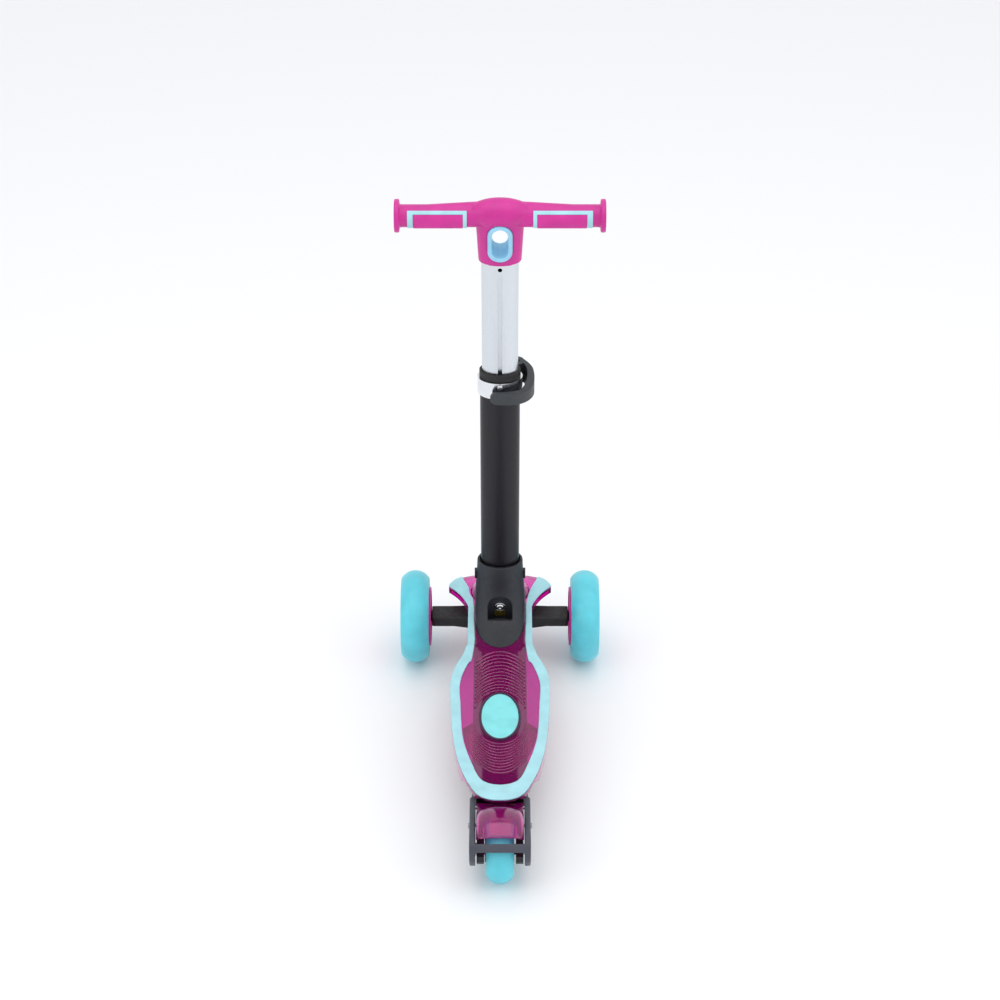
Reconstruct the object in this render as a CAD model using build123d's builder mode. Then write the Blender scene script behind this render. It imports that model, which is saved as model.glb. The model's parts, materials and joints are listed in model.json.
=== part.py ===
from build123d import *
import os
from dataclasses import dataclass
from math import cos, radians, sin

# Three-wheeled lean-to-steer kick scooter for a small child, in millimetres.
# +X is the rider's right, +Y is forward and +Z is up. The origin is on the floor,
# under the middle of the scooter's length and width.

# ---------------------------------------------------------------- driving dimensions
WHEELBASE = 436.0          # front axle to rear axle
TRACK = 220.0              # between the middles of the front tyres
FRONT_WHEEL_D = 120.0
FRONT_TYRE_W = 36.0
REAR_WHEEL_D = 80.0
REAR_TYRE_W = 32.0
NOSE_REACH = 64.0          # deck's nose ahead of the front axle

DECK_W = 123.0             # widest place of the standing area
NECK_W = 82.0              # deck's waist beside the boot
HORN_W = 134.0             # tip to tip of the two horns
DECK_Z = 78.0              # top of the standing area
NECK_Z = 88.0              # top of the neck, level round the boot
SHELL_T = 3.5              # deck shell's top
SKIN_T = 3.0               # deck shell's side walls
PAD_T = 2.5                # soft frame on the shell
PAD_BAND = 12.5            # its width beside the standing area

RAKE = 8.0                 # the bar leans back by this angle
BAR_BACK = 20.0            # bar's axis passes this far behind the front axle, at its height
LOWER_RX, LOWER_RY = 24.0, 14.5     # half width and half depth of the oval lower tube
UPPER_RX, UPPER_RY = 21.5, 12.0     # and of the upper tube
TUBE_WALL = 1.5
HANDLE_S = 640.0           # handle's middle, measured up the bar from the axle's height
HANDLE_W = 239.0
GRIP_R = 13.0
NECK_DROP = 60.0           # from the handle's middle down to the start of its neck
NECK_S = HANDLE_S - NECK_DROP
LOWER_TOP_S = 412.0        # upper end of the lower tube
RIM_S = 117.0              # boot's rim
SHIN_S = 80.0              # where the boot's sides turn from the shoe into the rim
INSERTION = 82.0           # upper tube inside the lower tube when fully raised

KING_TILT = 35.0           # steering axis leans forward by this angle
KING_Z = 54.0              # its height over the front axle's line

BOLT_R = 4.0               # bore for the 8 mm bolts
FIT = 0.03                 # radial running fit of a shaft in its bore
GAP = 0.3                  # clear space between pieces that move past each other
SEAT = 0.05                # clear space between pieces that are fastened together

# ---------------------------------------------------------------- places worked out from them
FRONT_R = FRONT_WHEEL_D / 2
REAR_R = REAR_WHEEL_D / 2
FRONT_REACH = max(NOSE_REACH, FRONT_R)
FRONT_Y = (WHEELBASE + REAR_R - FRONT_REACH) / 2
REAR_Y = FRONT_Y - WHEELBASE
NOSE_Y = FRONT_Y + NOSE_REACH
TAIL_Y = REAR_Y + REAR_R - 6
NECK_REAR_Y = FRONT_Y - 98
NECK_FRONT_Y = FRONT_Y - 20
HORN_Y = FRONT_Y + 25
DECK_LENGTH = NECK_REAR_Y - TAIL_Y
PIN_Y, PIN_Z = REAR_Y + REAR_R + 4, REAR_R + 26     # brake's hinge pin
BRAKE_PIN_R = 2.5

bar = Plane(origin=(0, FRONT_Y - BAR_BACK, FRONT_R), x_dir=(1, 0, 0),
            z_dir=(0, -sin(radians(RAKE)), cos(radians(RAKE))))
king = Plane(origin=(0, FRONT_Y, KING_Z), x_dir=(1, 0, 0),
             z_dir=(0, sin(radians(KING_TILT)), cos(radians(KING_TILT))))
rear_axle = (0, REAR_Y, REAR_R)
os.makedirs("parts", exist_ok=True)


def keep(part, name):
    """Label a finished piece and write its STEP file."""
    part.label = name
    export_step(part, f"parts/{name}.step")


def bar_section(y, s, x=0.0):
    """Plane square to the bar's back: its own z points backwards, out of the bar, and its y up the bar."""
    return Plane(origin=bar.from_local_coords((x, y, s)), x_dir=(1, 0, 0), z_dir=-bar.y_dir)


def tube(rx, ry, wall, low, high):
    """Oval tube along the bar, from one station to another."""
    with BuildPart() as piece:
        with BuildSketch(bar.offset(low)):
            Ellipse(rx, ry)
            Ellipse(rx - wall, ry - wall, mode=Mode.SUBTRACT)
        extrude(amount=high - low)
    return piece.part


def hexagon(plane, across_flats, height, bore_r):
    """Hexagon nut with its own bore."""
    with BuildPart() as piece:
        with BuildSketch(plane):
            RegularPolygon(across_flats / 2, 6, major_radius=False)
            Circle(bore_r, mode=Mode.SUBTRACT)
        extrude(amount=height)
    return piece.part


def cap_bolt(plane, shank_r, shank_length, head_r, head_height, socket_r):
    """Socket-head bolt: the plane is under its head, and its z points out of the head."""
    with BuildPart() as piece:
        with BuildSketch(plane):
            Circle(head_r)
        extrude(amount=head_height)
        chamfer(piece.faces().sort_by(Axis(plane.origin, plane.z_dir))[-1].edges(), 0.6)
        with BuildSketch(plane.offset(head_height)):
            RegularPolygon(socket_r, 6)
        extrude(amount=-head_height * 0.6, mode=Mode.SUBTRACT)
        with BuildSketch(plane):
            Circle(shank_r)
        extrude(amount=-shank_length)
    return piece.part


# ================================================================ deck
SIDE_REAR = [(0.0, 6.0), (0.16, 2.2), (0.38, -0.6), (0.66, 0.0), (0.87, 4.6)]   # share of length, height
SHOULDER_LINE = [(0.95, 61), (0.73, 43), (0.44, 30), (0.20, 18), (0.05, 7)]    # share of width, way back
LEVEL_END_Y = NOSE_Y - 35
NOSE_DROP = 10.0
BAND_END = 12.0            # the bands run this far past the deck's ends
HUMP_RX, HUMP_RY = 40.0, 42.0
HUMP_Y = FRONT_Y + 18
HUMP_H = 13.0
HUMP_TAPER = 42.0


def deck_band(upper_drop, lower_drop):
    """Wide slab between two copies of the deck's side line, each lowered by its own amount."""
    with BuildPart() as band:
        with BuildSketch(Plane.YZ):
            with BuildLine():
                tail_z = DECK_Z + SIDE_REAR[0][1]
                for drop in (upper_drop, lower_drop):
                    rear = [(TAIL_Y + share * DECK_LENGTH, DECK_Z + rise - drop) for share, rise in SIDE_REAR]
                    rear.append((NECK_REAR_Y, NECK_Z - drop))
                    Line((TAIL_Y - BAND_END, tail_z + 2 - drop), rear[0])
                    Spline(*rear, tangents=[(1, -0.17), (1, 0)])
                    Line((NECK_REAR_Y, NECK_Z - drop), (LEVEL_END_Y, NECK_Z - drop))
                    Spline((LEVEL_END_Y, NECK_Z - drop), (NOSE_Y + BAND_END, NECK_Z - NOSE_DROP * 1.5 - drop),
                           tangents=[(1, 0), (1, -1)])
                ends = ((TAIL_Y - BAND_END, tail_z + 2), (NOSE_Y + BAND_END, NECK_Z - NOSE_DROP * 1.5))
                for end_y, end_z in ends:
                    Line((end_y, end_z - upper_drop), (end_y, end_z - lower_drop))
            make_face()
        extrude(amount=HORN_W, both=True)
    return band.part


def deck_outline(inset):
    """Plan of the deck as a sketch, drawn in by a margin all round."""
    half, neck, horn = DECK_W / 2 - inset, NECK_W / 2 - inset, HORN_W / 2 - 1.5 * inset
    tail, nose = TAIL_Y + inset, NOSE_Y - inset
    with BuildSketch() as plan:
        with BuildLine():
            Spline((0, tail),
                   (half * 0.56, tail + DECK_LENGTH * 0.09), (half * 0.76, tail + DECK_LENGTH * 0.21),
                   (half * 0.92, TAIL_Y + DECK_LENGTH * 0.40), (half, TAIL_Y + DECK_LENGTH * 0.68),
                   *[(neck + (half - neck) * share, NECK_REAR_Y - back) for share, back in SHOULDER_LINE],
                   (neck, NECK_REAR_Y + 4), tangents=[(1, 0), (0, 1)])
            Line((neck, NECK_REAR_Y + 4), (neck, NECK_FRONT_Y))
            ThreePointArc((neck, NECK_FRONT_Y), (neck + (horn - neck) * 0.42, NECK_FRONT_Y + 26),
                          (horn, HORN_Y))
            Spline((horn, HORN_Y), (horn * 0.74, HORN_Y + 25 - inset / 2), (0, nose),
                   tangents=[(-0.2, 1), (-1, 0)])
            mirror(about=Plane.YZ)
        make_face()
        tips = plan.vertices().sort_by(Axis.X)
        fillet([tips[0], tips[-1]], 3)
    return plan.sketch


def boot_body(grow):
    """Outside of the boot: a shoe with a low rounded toe that rises into the oval rim."""
    with BuildPart() as body:
        with BuildSketch(Plane.XY.offset(NECK_Z + SEAT)):
            with Locations((0, FRONT_Y - 55)):
                Ellipse(31 + grow, 53 + grow)
        with BuildSketch(Plane.XY.offset(NECK_Z + 21)):
            with Locations((0, FRONT_Y - 35)):
                Ellipse(32 + grow, 30 + grow)
        with BuildSketch(bar.offset(SHIN_S)):
            Ellipse(LOWER_RX + 6.6 + grow, LOWER_RY + 8.5 + grow)
        with BuildSketch(bar.offset(RIM_S)):
            Ellipse(LOWER_RX + 4.7 + grow, LOWER_RY + 5.5 + grow)
        loft()
    return body.part


LATCH_S = 55.5             # latch's place on the bar
LATCH_BODY_R = 5.0
LATCH_NOSE_R = 4.0
WINDOW_RX = 15.5
WINDOW_RISE, WINDOW_DROP = 17.0, 24.0       # above and below the latch, on the floor
WINDOW_FLOOR = -24.0       # window's flat floor, behind the bar's axis
SILL_RISE = 0.966          # sill climbs by this much for each unit outwards
SLEEVE_T = 3.0
SLEEVE_RX, SLEEVE_RY = LOWER_RX + GAP + SLEEVE_T, LOWER_RY + GAP + SLEEVE_T
SLEEVE_TOP_S = 111.0
SLEEVE_FLOOR_S = 30.2
FLANGE_T = 3.8
CLIP_S = 92.0
CLIP_X = 32.2
SPINE_HALF = 33.0

# Inside of the shell: its outline drawn in by the side walls, under a top of even thickness.
with BuildPart() as deck_cavity:
    add(deck_outline(SKIN_T))
    extrude(amount=NECK_Z + 40)
    add(deck_band(SHELL_T, 60), mode=Mode.INTERSECT)
    with BuildSketch(Plane.XY.offset(NECK_Z - 2 * SHELL_T)):
        with Locations((0, HUMP_Y)):
            Ellipse(HUMP_RX - SKIN_T, HUMP_RY - SKIN_T)
    extrude(amount=HUMP_H + SHELL_T, taper=HUMP_TAPER)

with BuildPart() as deck_shell:
    add(deck_outline(0))
    extrude(amount=NECK_Z + 40)
    add(deck_band(0, 60), mode=Mode.INTERSECT)
    # The skirt is deep beside the standing area and shallow over the axle and the rear fork.
    with BuildSketch(Plane.YZ):
        with BuildLine():
            Polyline((TAIL_Y - 20, 0), (TAIL_Y - 20, DECK_Z + 3.4), (TAIL_Y + 8, DECK_Z + 3.4),
                     (TAIL_Y + 14, DECK_Z - 2.5), (TAIL_Y + 44, DECK_Z - 2.5),
                     (TAIL_Y + 62, DECK_Z - 14), (NECK_REAR_Y - 20, DECK_Z - 14),
                     (NECK_FRONT_Y - 36, NECK_Z - 8), (NOSE_Y + 20, NECK_Z - 8), (NOSE_Y + 20, 0), close=True)
        make_face()
    extrude(amount=HORN_W, both=True, mode=Mode.SUBTRACT)
    with BuildSketch(Plane.XY.offset(NECK_Z - 2)):
        with Locations((0, HUMP_Y)):
            Ellipse(HUMP_RX, HUMP_RY)
    extrude(amount=HUMP_H + 2, taper=HUMP_TAPER)
    add(deck_cavity.part, mode=Mode.SUBTRACT)
    add(boot_body(SEAT * 4), mode=Mode.SUBTRACT)
    with BuildSketch(bar):
        Ellipse(SLEEVE_RX + GAP, SLEEVE_RY + GAP)
    extrude(amount=RIM_S, mode=Mode.SUBTRACT)
keep(deck_shell.part, "deck_shell")

# Soft frame along the deck's edge, open at the nose, where the hump rises through it.
WINDOW_HALF = DECK_W / 2 - PAD_BAND
NECK_INNER = NECK_W / 2 - 8.4
with BuildPart() as deck_pad:
    add(deck_outline(SEAT))
    extrude(amount=NECK_Z + 40)
    add(deck_band(-PAD_T, -SEAT), mode=Mode.INTERSECT)
    with BuildSketch(Plane.XY):
        with BuildLine():
            Spline((0, TAIL_Y + 31), (WINDOW_HALF * 0.62, TAIL_Y + 62), (WINDOW_HALF * 0.9, TAIL_Y + 120),
                   (WINDOW_HALF, TAIL_Y + DECK_LENGTH * 0.66),
                   (WINDOW_HALF * 0.97, TAIL_Y + DECK_LENGTH * 0.80),
                   (WINDOW_HALF * 0.78, TAIL_Y + DECK_LENGTH * 0.885), (NECK_INNER, NECK_REAR_Y - 8),
                   tangents=[(1, 0), (-0.1, 1)])
            Spline((NECK_INNER, NECK_REAR_Y - 8), (NECK_INNER + 0.2, NECK_REAR_Y + 36),
                   (NECK_INNER + 1.4, NECK_FRONT_Y + 8), (HUMP_RX + 1, FRONT_Y + 23),
                   (HUMP_RX + 9, NOSE_Y - 16), tangents=[(-0.1, 1), (0.2, 1)])
            Line((HUMP_RX + 9, NOSE_Y - 16), (HUMP_RX + 13, NOSE_Y + 4))
            Line((HUMP_RX + 13, NOSE_Y + 4), (0, NOSE_Y + 4))
            mirror(about=Plane.YZ)
        make_face()
    extrude(amount=NECK_Z + 40, mode=Mode.SUBTRACT)
    with BuildSketch(Plane.XY.offset(NECK_Z - 2)):
        with Locations((0, HUMP_Y)):
            Ellipse(HUMP_RX + SEAT, HUMP_RY + SEAT)
    extrude(amount=HUMP_H, mode=Mode.SUBTRACT)
keep(deck_pad.part, "deck_pad")

# Oval disc in the middle of the standing area, in its own bezel ring.
MEDAL_RX, MEDAL_RY = 23.0, 43.5
BEZEL_W = 2.6
MEDAL_Y = FRONT_Y - 236
with BuildPart() as medallion:
    with BuildSketch(Plane.XY):
        with Locations((0, MEDAL_Y)):
            Ellipse(MEDAL_RX, MEDAL_RY)
    extrude(amount=NECK_Z + 40)
    add(deck_band(-1.8, -SEAT), mode=Mode.INTERSECT)
keep(medallion.part, "medallion")

with BuildPart() as medallion_bezel:
    with BuildSketch(Plane.XY):
        with Locations((0, MEDAL_Y)):
            Ellipse(MEDAL_RX + BEZEL_W, MEDAL_RY + BEZEL_W)
            Ellipse(MEDAL_RX + SEAT, MEDAL_RY + SEAT, mode=Mode.SUBTRACT)
    extrude(amount=NECK_Z + 40)
    add(deck_band(-2.4, -SEAT), mode=Mode.INTERSECT)
keep(medallion_bezel.part, "medallion_bezel")

# ---------------------------------------------------------------- chassis under the shell
SEAT_T = 17.5              # upper bushing's seat, up the steering axis
HUB_R, HUB_HALF = 13.0, 10.0
BUSH_R = 11.0
SPINE_LOW = 20.0           # underside of the spine below the standing area
SPINE_FRONT_Y = FRONT_Y + 36
SPINE_REAR_Y = REAR_Y + REAR_R + 14
SOCKET_S = 10.0            # the sleeve's oval starts below its flange
FLANGE_Z = NECK_Z - SHELL_T - GAP
flange_y = FRONT_Y - BAR_BACK - 4
CELLS = 6
CELL_WALL = 5.0
YOKE_SCREW_X, YOKE_SCREW_Y = 18.0, SPINE_REAR_Y + 12
YOKE_PLATE_T = 11.0         # fork's plate between the chassis and the screws' heads
YOKE_FRONT_Y = SPINE_REAR_Y + 26
YOKE_STEP = 1.0            # depth of the step that locates the fork in the chassis
SLEEVE_SCREW_X = 26.0

with BuildPart() as king_boss:
    with BuildSketch(king.offset(SEAT_T)):
        Circle(HUB_R)
    extrude(amount=22)
    add(deck_band(SHELL_T + GAP, 60), mode=Mode.INTERSECT)

with BuildPart() as chassis:
    add(deck_outline(SKIN_T + GAP))
    extrude(amount=NECK_Z + 40)
    with BuildSketch(Plane.XY):
        with Locations((0, (SPINE_FRONT_Y + SPINE_REAR_Y) / 2)):
            Rectangle(2 * SPINE_HALF, SPINE_FRONT_Y - SPINE_REAR_Y)
    extrude(amount=NECK_Z + 40, mode=Mode.INTERSECT)
    add(deck_band(SHELL_T + GAP, 60), mode=Mode.INTERSECT)
    with BuildSketch(Plane.YZ):
        with BuildLine():
            Polyline((SPINE_REAR_Y - 5, 0), (SPINE_REAR_Y - 5, DECK_Z - SPINE_LOW),
                     (NECK_REAR_Y + 2, DECK_Z - SPINE_LOW), (NECK_FRONT_Y - 26, NECK_Z - 12),
                     (SPINE_FRONT_Y + 5, NECK_Z - 12), (SPINE_FRONT_Y + 5, 0), close=True)
        make_face()
    extrude(amount=HORN_W, both=True, mode=Mode.SUBTRACT)
    add(king_boss.part)
    with BuildSketch(Plane.XY.offset(DECK_Z - SPINE_LOW)):
        with Locations((0, (YOKE_FRONT_Y + GAP + SPINE_REAR_Y - 5) / 2)):
            Rectangle(2 * SPINE_HALF + 2, YOKE_FRONT_Y + GAP - SPINE_REAR_Y + 5)
    extrude(amount=YOKE_STEP, mode=Mode.SUBTRACT)
    # Open cells in the underside, with cross ribs between them.
    cells_rear = SPINE_REAR_Y + 30
    cell_length = (NECK_REAR_Y - 4 - cells_rear) / CELLS
    for row in range(CELLS):
        with BuildSketch(Plane.XY.offset(DECK_Z - SPINE_LOW)):
            for side in (-1, 1):
                with Locations((side * SPINE_HALF / 2, cells_rear + (row + 0.5) * cell_length)):
                    Rectangle(SPINE_HALF - 2 * CELL_WALL, cell_length - CELL_WALL)
        extrude(amount=SPINE_LOW - 12, mode=Mode.SUBTRACT)
    with BuildSketch(Plane.XY.offset(FLANGE_Z - FLANGE_T - SEAT)):
        with Locations((0, flange_y)):
            RectangleRounded(2 * (SLEEVE_SCREW_X + 5) + 2 * SEAT, 62, 6)
    extrude(amount=30, mode=Mode.SUBTRACT)
    with BuildSketch(king.offset(SEAT_T + 6.5)):
        Circle(7.2)
    extrude(amount=30, mode=Mode.SUBTRACT)
    with BuildSketch(king):
        Circle(BOLT_R)
    extrude(amount=60, mode=Mode.SUBTRACT)
    with BuildSketch(Plane.XY):
        with Locations(*[(x, flange_y + y) for x in (-SLEEVE_SCREW_X, SLEEVE_SCREW_X) for y in (-22, 22)]):
            Circle(2.1)
    extrude(amount=NECK_Z, mode=Mode.SUBTRACT)
    with BuildSketch(Plane.XY):
        with Locations(*[(x, YOKE_SCREW_Y) for x in (-YOKE_SCREW_X, YOKE_SCREW_X)]):
            Circle(2.1)
    extrude(amount=NECK_Z, mode=Mode.SUBTRACT)
keep(chassis.part, "chassis")

# ================================================================ socket and boot
with BuildPart() as socket_sleeve:
    with BuildSketch(bar.offset(SOCKET_S)):
        Ellipse(SLEEVE_RX, SLEEVE_RY)
    extrude(amount=SLEEVE_TOP_S - SOCKET_S)
    with BuildSketch(Plane.XY.offset(FLANGE_Z - FLANGE_T)):
        with Locations((0, flange_y)):
            RectangleRounded(2 * (SLEEVE_SCREW_X + 5), 61, 6)
            with Locations(*[(x, y) for x in (-SLEEVE_SCREW_X, SLEEVE_SCREW_X) for y in (-22, 22)]):
                Circle(2.1, mode=Mode.SUBTRACT)
    extrude(amount=FLANGE_T)
    # Two snap clips hold the boot from inside and show through its sides.
    with BuildSketch(bar.offset(CLIP_S - 6)):
        for side in (-1, 1):
            with Locations((side * (CLIP_X + SLEEVE_RX - 3) / 2, 0)):
                Rectangle(CLIP_X - SLEEVE_RX + 3, 7)
    extrude(amount=12)
    with BuildSketch(Plane.XY):
        Rectangle(200, 900)
    extrude(amount=FLANGE_Z - FLANGE_T, mode=Mode.SUBTRACT)
    with BuildSketch(bar.offset(SLEEVE_FLOOR_S)):
        Ellipse(LOWER_RX + GAP, LOWER_RY + GAP)
    extrude(amount=RIM_S, mode=Mode.SUBTRACT)
    with BuildSketch(bar_section(0, LATCH_S)):
        Circle(LATCH_NOSE_R + GAP)
    extrude(amount=40, mode=Mode.SUBTRACT)
keep(socket_sleeve.part, "socket_sleeve")

window_plane = bar_section(WINDOW_FLOOR, LATCH_S)
PLATE_HALF, PLATE_LOW, PLATE_HIGH = 7.2, -14.0, -7.5
# Arched window at the back, for the latch: its sill slopes up and out over the toe.
with BuildPart() as latch_window:
    with BuildSketch(window_plane):
        with BuildLine():
            Polyline((-WINDOW_RX, 0), (-WINDOW_RX, -WINDOW_DROP), (WINDOW_RX, -WINDOW_DROP), (WINDOW_RX, 0))
            ThreePointArc((-WINDOW_RX, 0), (0, WINDOW_RISE), (WINDOW_RX, 0))
        make_face()
    extrude(amount=60)
    with BuildSketch(Plane(origin=bar.origin, x_dir=bar.y_dir, z_dir=(1, 0, 0))):
        sill_s, reach = LATCH_S - WINDOW_DROP, 60
        Polygon((WINDOW_FLOOR + 5, sill_s), (WINDOW_FLOOR, sill_s),
                (WINDOW_FLOOR - reach, sill_s + reach * SILL_RISE),
                (WINDOW_FLOOR - reach, sill_s + 2 * reach),
                (WINDOW_FLOOR + 5, sill_s + 2 * reach), align=None)
    extrude(amount=WINDOW_RX + 5, both=True, mode=Mode.INTERSECT)
with BuildPart() as boot:
    add(boot_body(0))
    with BuildSketch(bar):
        Ellipse(SLEEVE_RX + SEAT, SLEEVE_RY + SEAT)
    extrude(amount=SLEEVE_TOP_S + SEAT, mode=Mode.SUBTRACT)
    with BuildSketch(bar):
        Ellipse(LOWER_RX + 1.2, LOWER_RY + 1.2)
    extrude(amount=RIM_S + 1, mode=Mode.SUBTRACT)
    with BuildSketch(bar.offset(CLIP_S - 6 - SEAT)):
        Rectangle(2 * CLIP_X + 10, 7 + 2 * SEAT)
    extrude(amount=12 + 2 * SEAT, mode=Mode.SUBTRACT)
    add(latch_window.part, mode=Mode.SUBTRACT)
    with BuildSketch(window_plane):
        with Locations((0, -18.5)):
            SlotOverall(2 * PLATE_HALF, 4.0)
    extrude(amount=-4, mode=Mode.SUBTRACT)
    with BuildSketch(bar_section(0, LATCH_S)):
        Circle(LATCH_BODY_R + GAP)
    extrude(amount=8 - WINDOW_FLOOR, mode=Mode.SUBTRACT)
keep(boot.part, "boot")

# Latch: a domed push button whose nose rides in the keyway of the bar.
LATCH_TRAVEL = 3.5
NOSE_TIP = -12.0
BUTTON_FACE = WINDOW_FLOOR - 3.0
SHOULDER = -21.5
KEYWAY_HALF = LATCH_NOSE_R + GAP
with BuildPart() as latch_button:
    with BuildSketch(bar_section(NOSE_TIP, LATCH_S)):
        Circle(LATCH_NOSE_R)
    extrude(amount=NOSE_TIP - SHOULDER)
    with BuildSketch(bar_section(SHOULDER, LATCH_S)):
        Circle(LATCH_BODY_R)
    extrude(amount=SHOULDER - BUTTON_FACE)
    rim = latch_button.faces().sort_by(Axis(window_plane.origin, window_plane.z_dir))[-1]
    fillet(rim.edges(), 1.8)
    with BuildSketch(bar_section(BUTTON_FACE, LATCH_S)):
        Circle(1.6)
    extrude(amount=-1.2, mode=Mode.SUBTRACT)
keep(latch_button.part, "latch_button")

with BuildPart() as latch_bezel:
    with BuildSketch(bar_section(WINDOW_FLOOR - SEAT, LATCH_S)):
        Circle(LATCH_BODY_R + 2.2)
        Circle(LATCH_BODY_R + GAP, mode=Mode.SUBTRACT)
    extrude(amount=1.4)
    fillet(latch_bezel.faces().sort_by(Axis(window_plane.origin, window_plane.z_dir))[-1].edges(), 0.5)
keep(latch_bezel.part, "latch_bezel")

with BuildPart() as latch_spring:
    with BuildSketch(bar_section(-SLEEVE_RY - 0.2, LATCH_S)):
        Circle(LATCH_NOSE_R + 0.7)
        Circle(LATCH_NOSE_R + 0.15, mode=Mode.SUBTRACT)
    extrude(amount=-SHOULDER - SLEEVE_RY - 0.4)
keep(latch_spring.part, "latch_spring")

with BuildPart() as latch_plate:
    with BuildSketch(bar_section(WINDOW_FLOOR - SEAT, LATCH_S)):
        with Locations((0, (PLATE_LOW + PLATE_HIGH) / 2)):
            RectangleRounded(2 * PLATE_HALF, PLATE_HIGH - PLATE_LOW, 1.2)
    extrude(amount=1.6)
keep(latch_plate.part, "latch_plate")

# ================================================================ bar
PIN_S = LOWER_TOP_S - 4.5
PIN_R = 2.4
PIN_HEAD_R = 3.0
PIN_REACH = 1.4            # height pin's tip, inside the groove at rest
PIN_TRAVEL = 2.2
PIN_PROUD = 0.3            # under its head, clear of the collar at rest
COLLAR_T = 2.9
COLLAR_LOW_S = LOWER_TOP_S - 24
LUG_Y, LUG_X = 22.0, 9.5
CAM_X = 21.0
CLAMP_S = COLLAR_LOW_S + 8
BUSH_TOP_S = LOWER_TOP_S + 9.5
PLUG_LOW_S = SLEEVE_FLOOR_S + GAP
TUBE_LOW_S = PLUG_LOW_S + 3.5
GROOVE_HALF, GROOVE_DEPTH = 2.6, PIN_REACH + PIN_TRAVEL + 0.4
UPPER_LOW_S = LOWER_TOP_S - INSERTION
HANDLE_TUBE_S = HANDLE_S - 2
SLOT_S = NECK_S + 31
SLOT_HALF_W, SLOT_HALF_H = 9.3, 19.5
LINER_T = 5.0
TIP_HOLE_S = NECK_S - 7


def keyway():
    """Slot up the back of the bar's lower end, open at the bottom, that the latch's nose rides in."""
    with BuildPart() as cut:
        with BuildSketch(bar_section(NOSE_TIP + LATCH_TRAVEL + GAP, LATCH_S)):
            Circle(KEYWAY_HALF)
            with Locations((0, -LATCH_S / 2)):
                Rectangle(2 * KEYWAY_HALF, LATCH_S)
        extrude(amount=20)
    return cut.part


def back_hole(radius, low_y=0.0):
    """Bore for the height pin, through the back of whatever it passes."""
    with BuildPart() as cut:
        with BuildSketch(bar_section(low_y, PIN_S)):
            Circle(radius)
        extrude(amount=60)
    return cut.part


with BuildPart() as lower_tube:
    add(tube(LOWER_RX, LOWER_RY, TUBE_WALL, TUBE_LOW_S, LOWER_TOP_S))
    add(keyway(), mode=Mode.SUBTRACT)
    add(back_hole(PIN_R + SEAT), mode=Mode.SUBTRACT)
    with BuildSketch(bar.offset(COLLAR_LOW_S - 4)):
        with Locations((0, LOWER_RY)):
            Rectangle(2.4, 6)
    extrude(amount=60, mode=Mode.SUBTRACT)
keep(lower_tube.part, "lower_tube")

with BuildPart() as tube_plug:
    with BuildSketch(bar.offset(PLUG_LOW_S)):
        Ellipse(LOWER_RX, LOWER_RY)
    extrude(amount=TUBE_LOW_S - PLUG_LOW_S - SEAT)
    with BuildSketch(bar.offset(PLUG_LOW_S)):
        Ellipse(LOWER_RX - TUBE_WALL - SEAT, LOWER_RY - TUBE_WALL - SEAT)
    extrude(amount=16)
    add(keyway(), mode=Mode.SUBTRACT)
keep(tube_plug.part, "tube_plug")

BUSH_RX, BUSH_RY = UPPER_RX + GAP, UPPER_RY + GAP
with BuildPart() as bush_ring:
    with BuildSketch(bar.offset(LOWER_TOP_S + SEAT)):
        Ellipse(LOWER_RX + 0.6, LOWER_RY + 0.6)
    extrude(amount=BUSH_TOP_S - LOWER_TOP_S)
    fillet(bush_ring.faces().sort_by(Axis(bar.origin, bar.z_dir))[-1].edges(), 0.8)
    with BuildSketch(bar.offset(LOWER_TOP_S - 18)):
        Ellipse(LOWER_RX - TUBE_WALL - SEAT, LOWER_RY - TUBE_WALL - SEAT)
    extrude(amount=19)
    with BuildSketch(bar.offset(LOWER_TOP_S - 20)):
        Ellipse(BUSH_RX, BUSH_RY)
    extrude(amount=40, mode=Mode.SUBTRACT)
    add(back_hole(PIN_R + SEAT), mode=Mode.SUBTRACT)
keep(bush_ring.part, "bush_ring")

with BuildPart() as upper_tube:
    with BuildSketch(bar.offset(UPPER_LOW_S)):
        Ellipse(UPPER_RX, UPPER_RY)
        Ellipse(UPPER_RX - TUBE_WALL, UPPER_RY - TUBE_WALL, mode=Mode.SUBTRACT)
    extrude(amount=HANDLE_TUBE_S - UPPER_LOW_S)
    # Groove down the back, with its own folded wall.
    with BuildSketch(bar.offset(UPPER_LOW_S)):
        with Locations((0, -UPPER_RY + (GROOVE_DEPTH + TUBE_WALL) / 2 + 0.2)):
            Rectangle(2 * (GROOVE_HALF + TUBE_WALL), GROOVE_DEPTH + TUBE_WALL - 0.4)
    extrude(amount=TIP_HOLE_S - 7 - UPPER_LOW_S)
    with BuildSketch(bar.offset(UPPER_LOW_S)):
        with Locations((0, -UPPER_RY + GROOVE_DEPTH / 2 - 1)):
            Rectangle(2 * GROOVE_HALF, GROOVE_DEPTH + 2)
    extrude(amount=TIP_HOLE_S - 9 - UPPER_LOW_S, mode=Mode.SUBTRACT)
    with BuildSketch(bar_section(0, TIP_HOLE_S)):
        Circle(2.6)
    extrude(amount=40, mode=Mode.SUBTRACT)
    with BuildSketch(bar_section(-40, SLOT_S)):
        SlotOverall(2 * (SLOT_HALF_H + LINER_T + SEAT), 2 * (SLOT_HALF_W + LINER_T + SEAT), rotation=90)
    extrude(amount=-80, mode=Mode.SUBTRACT)
keep(upper_tube.part, "upper_tube")

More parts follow.
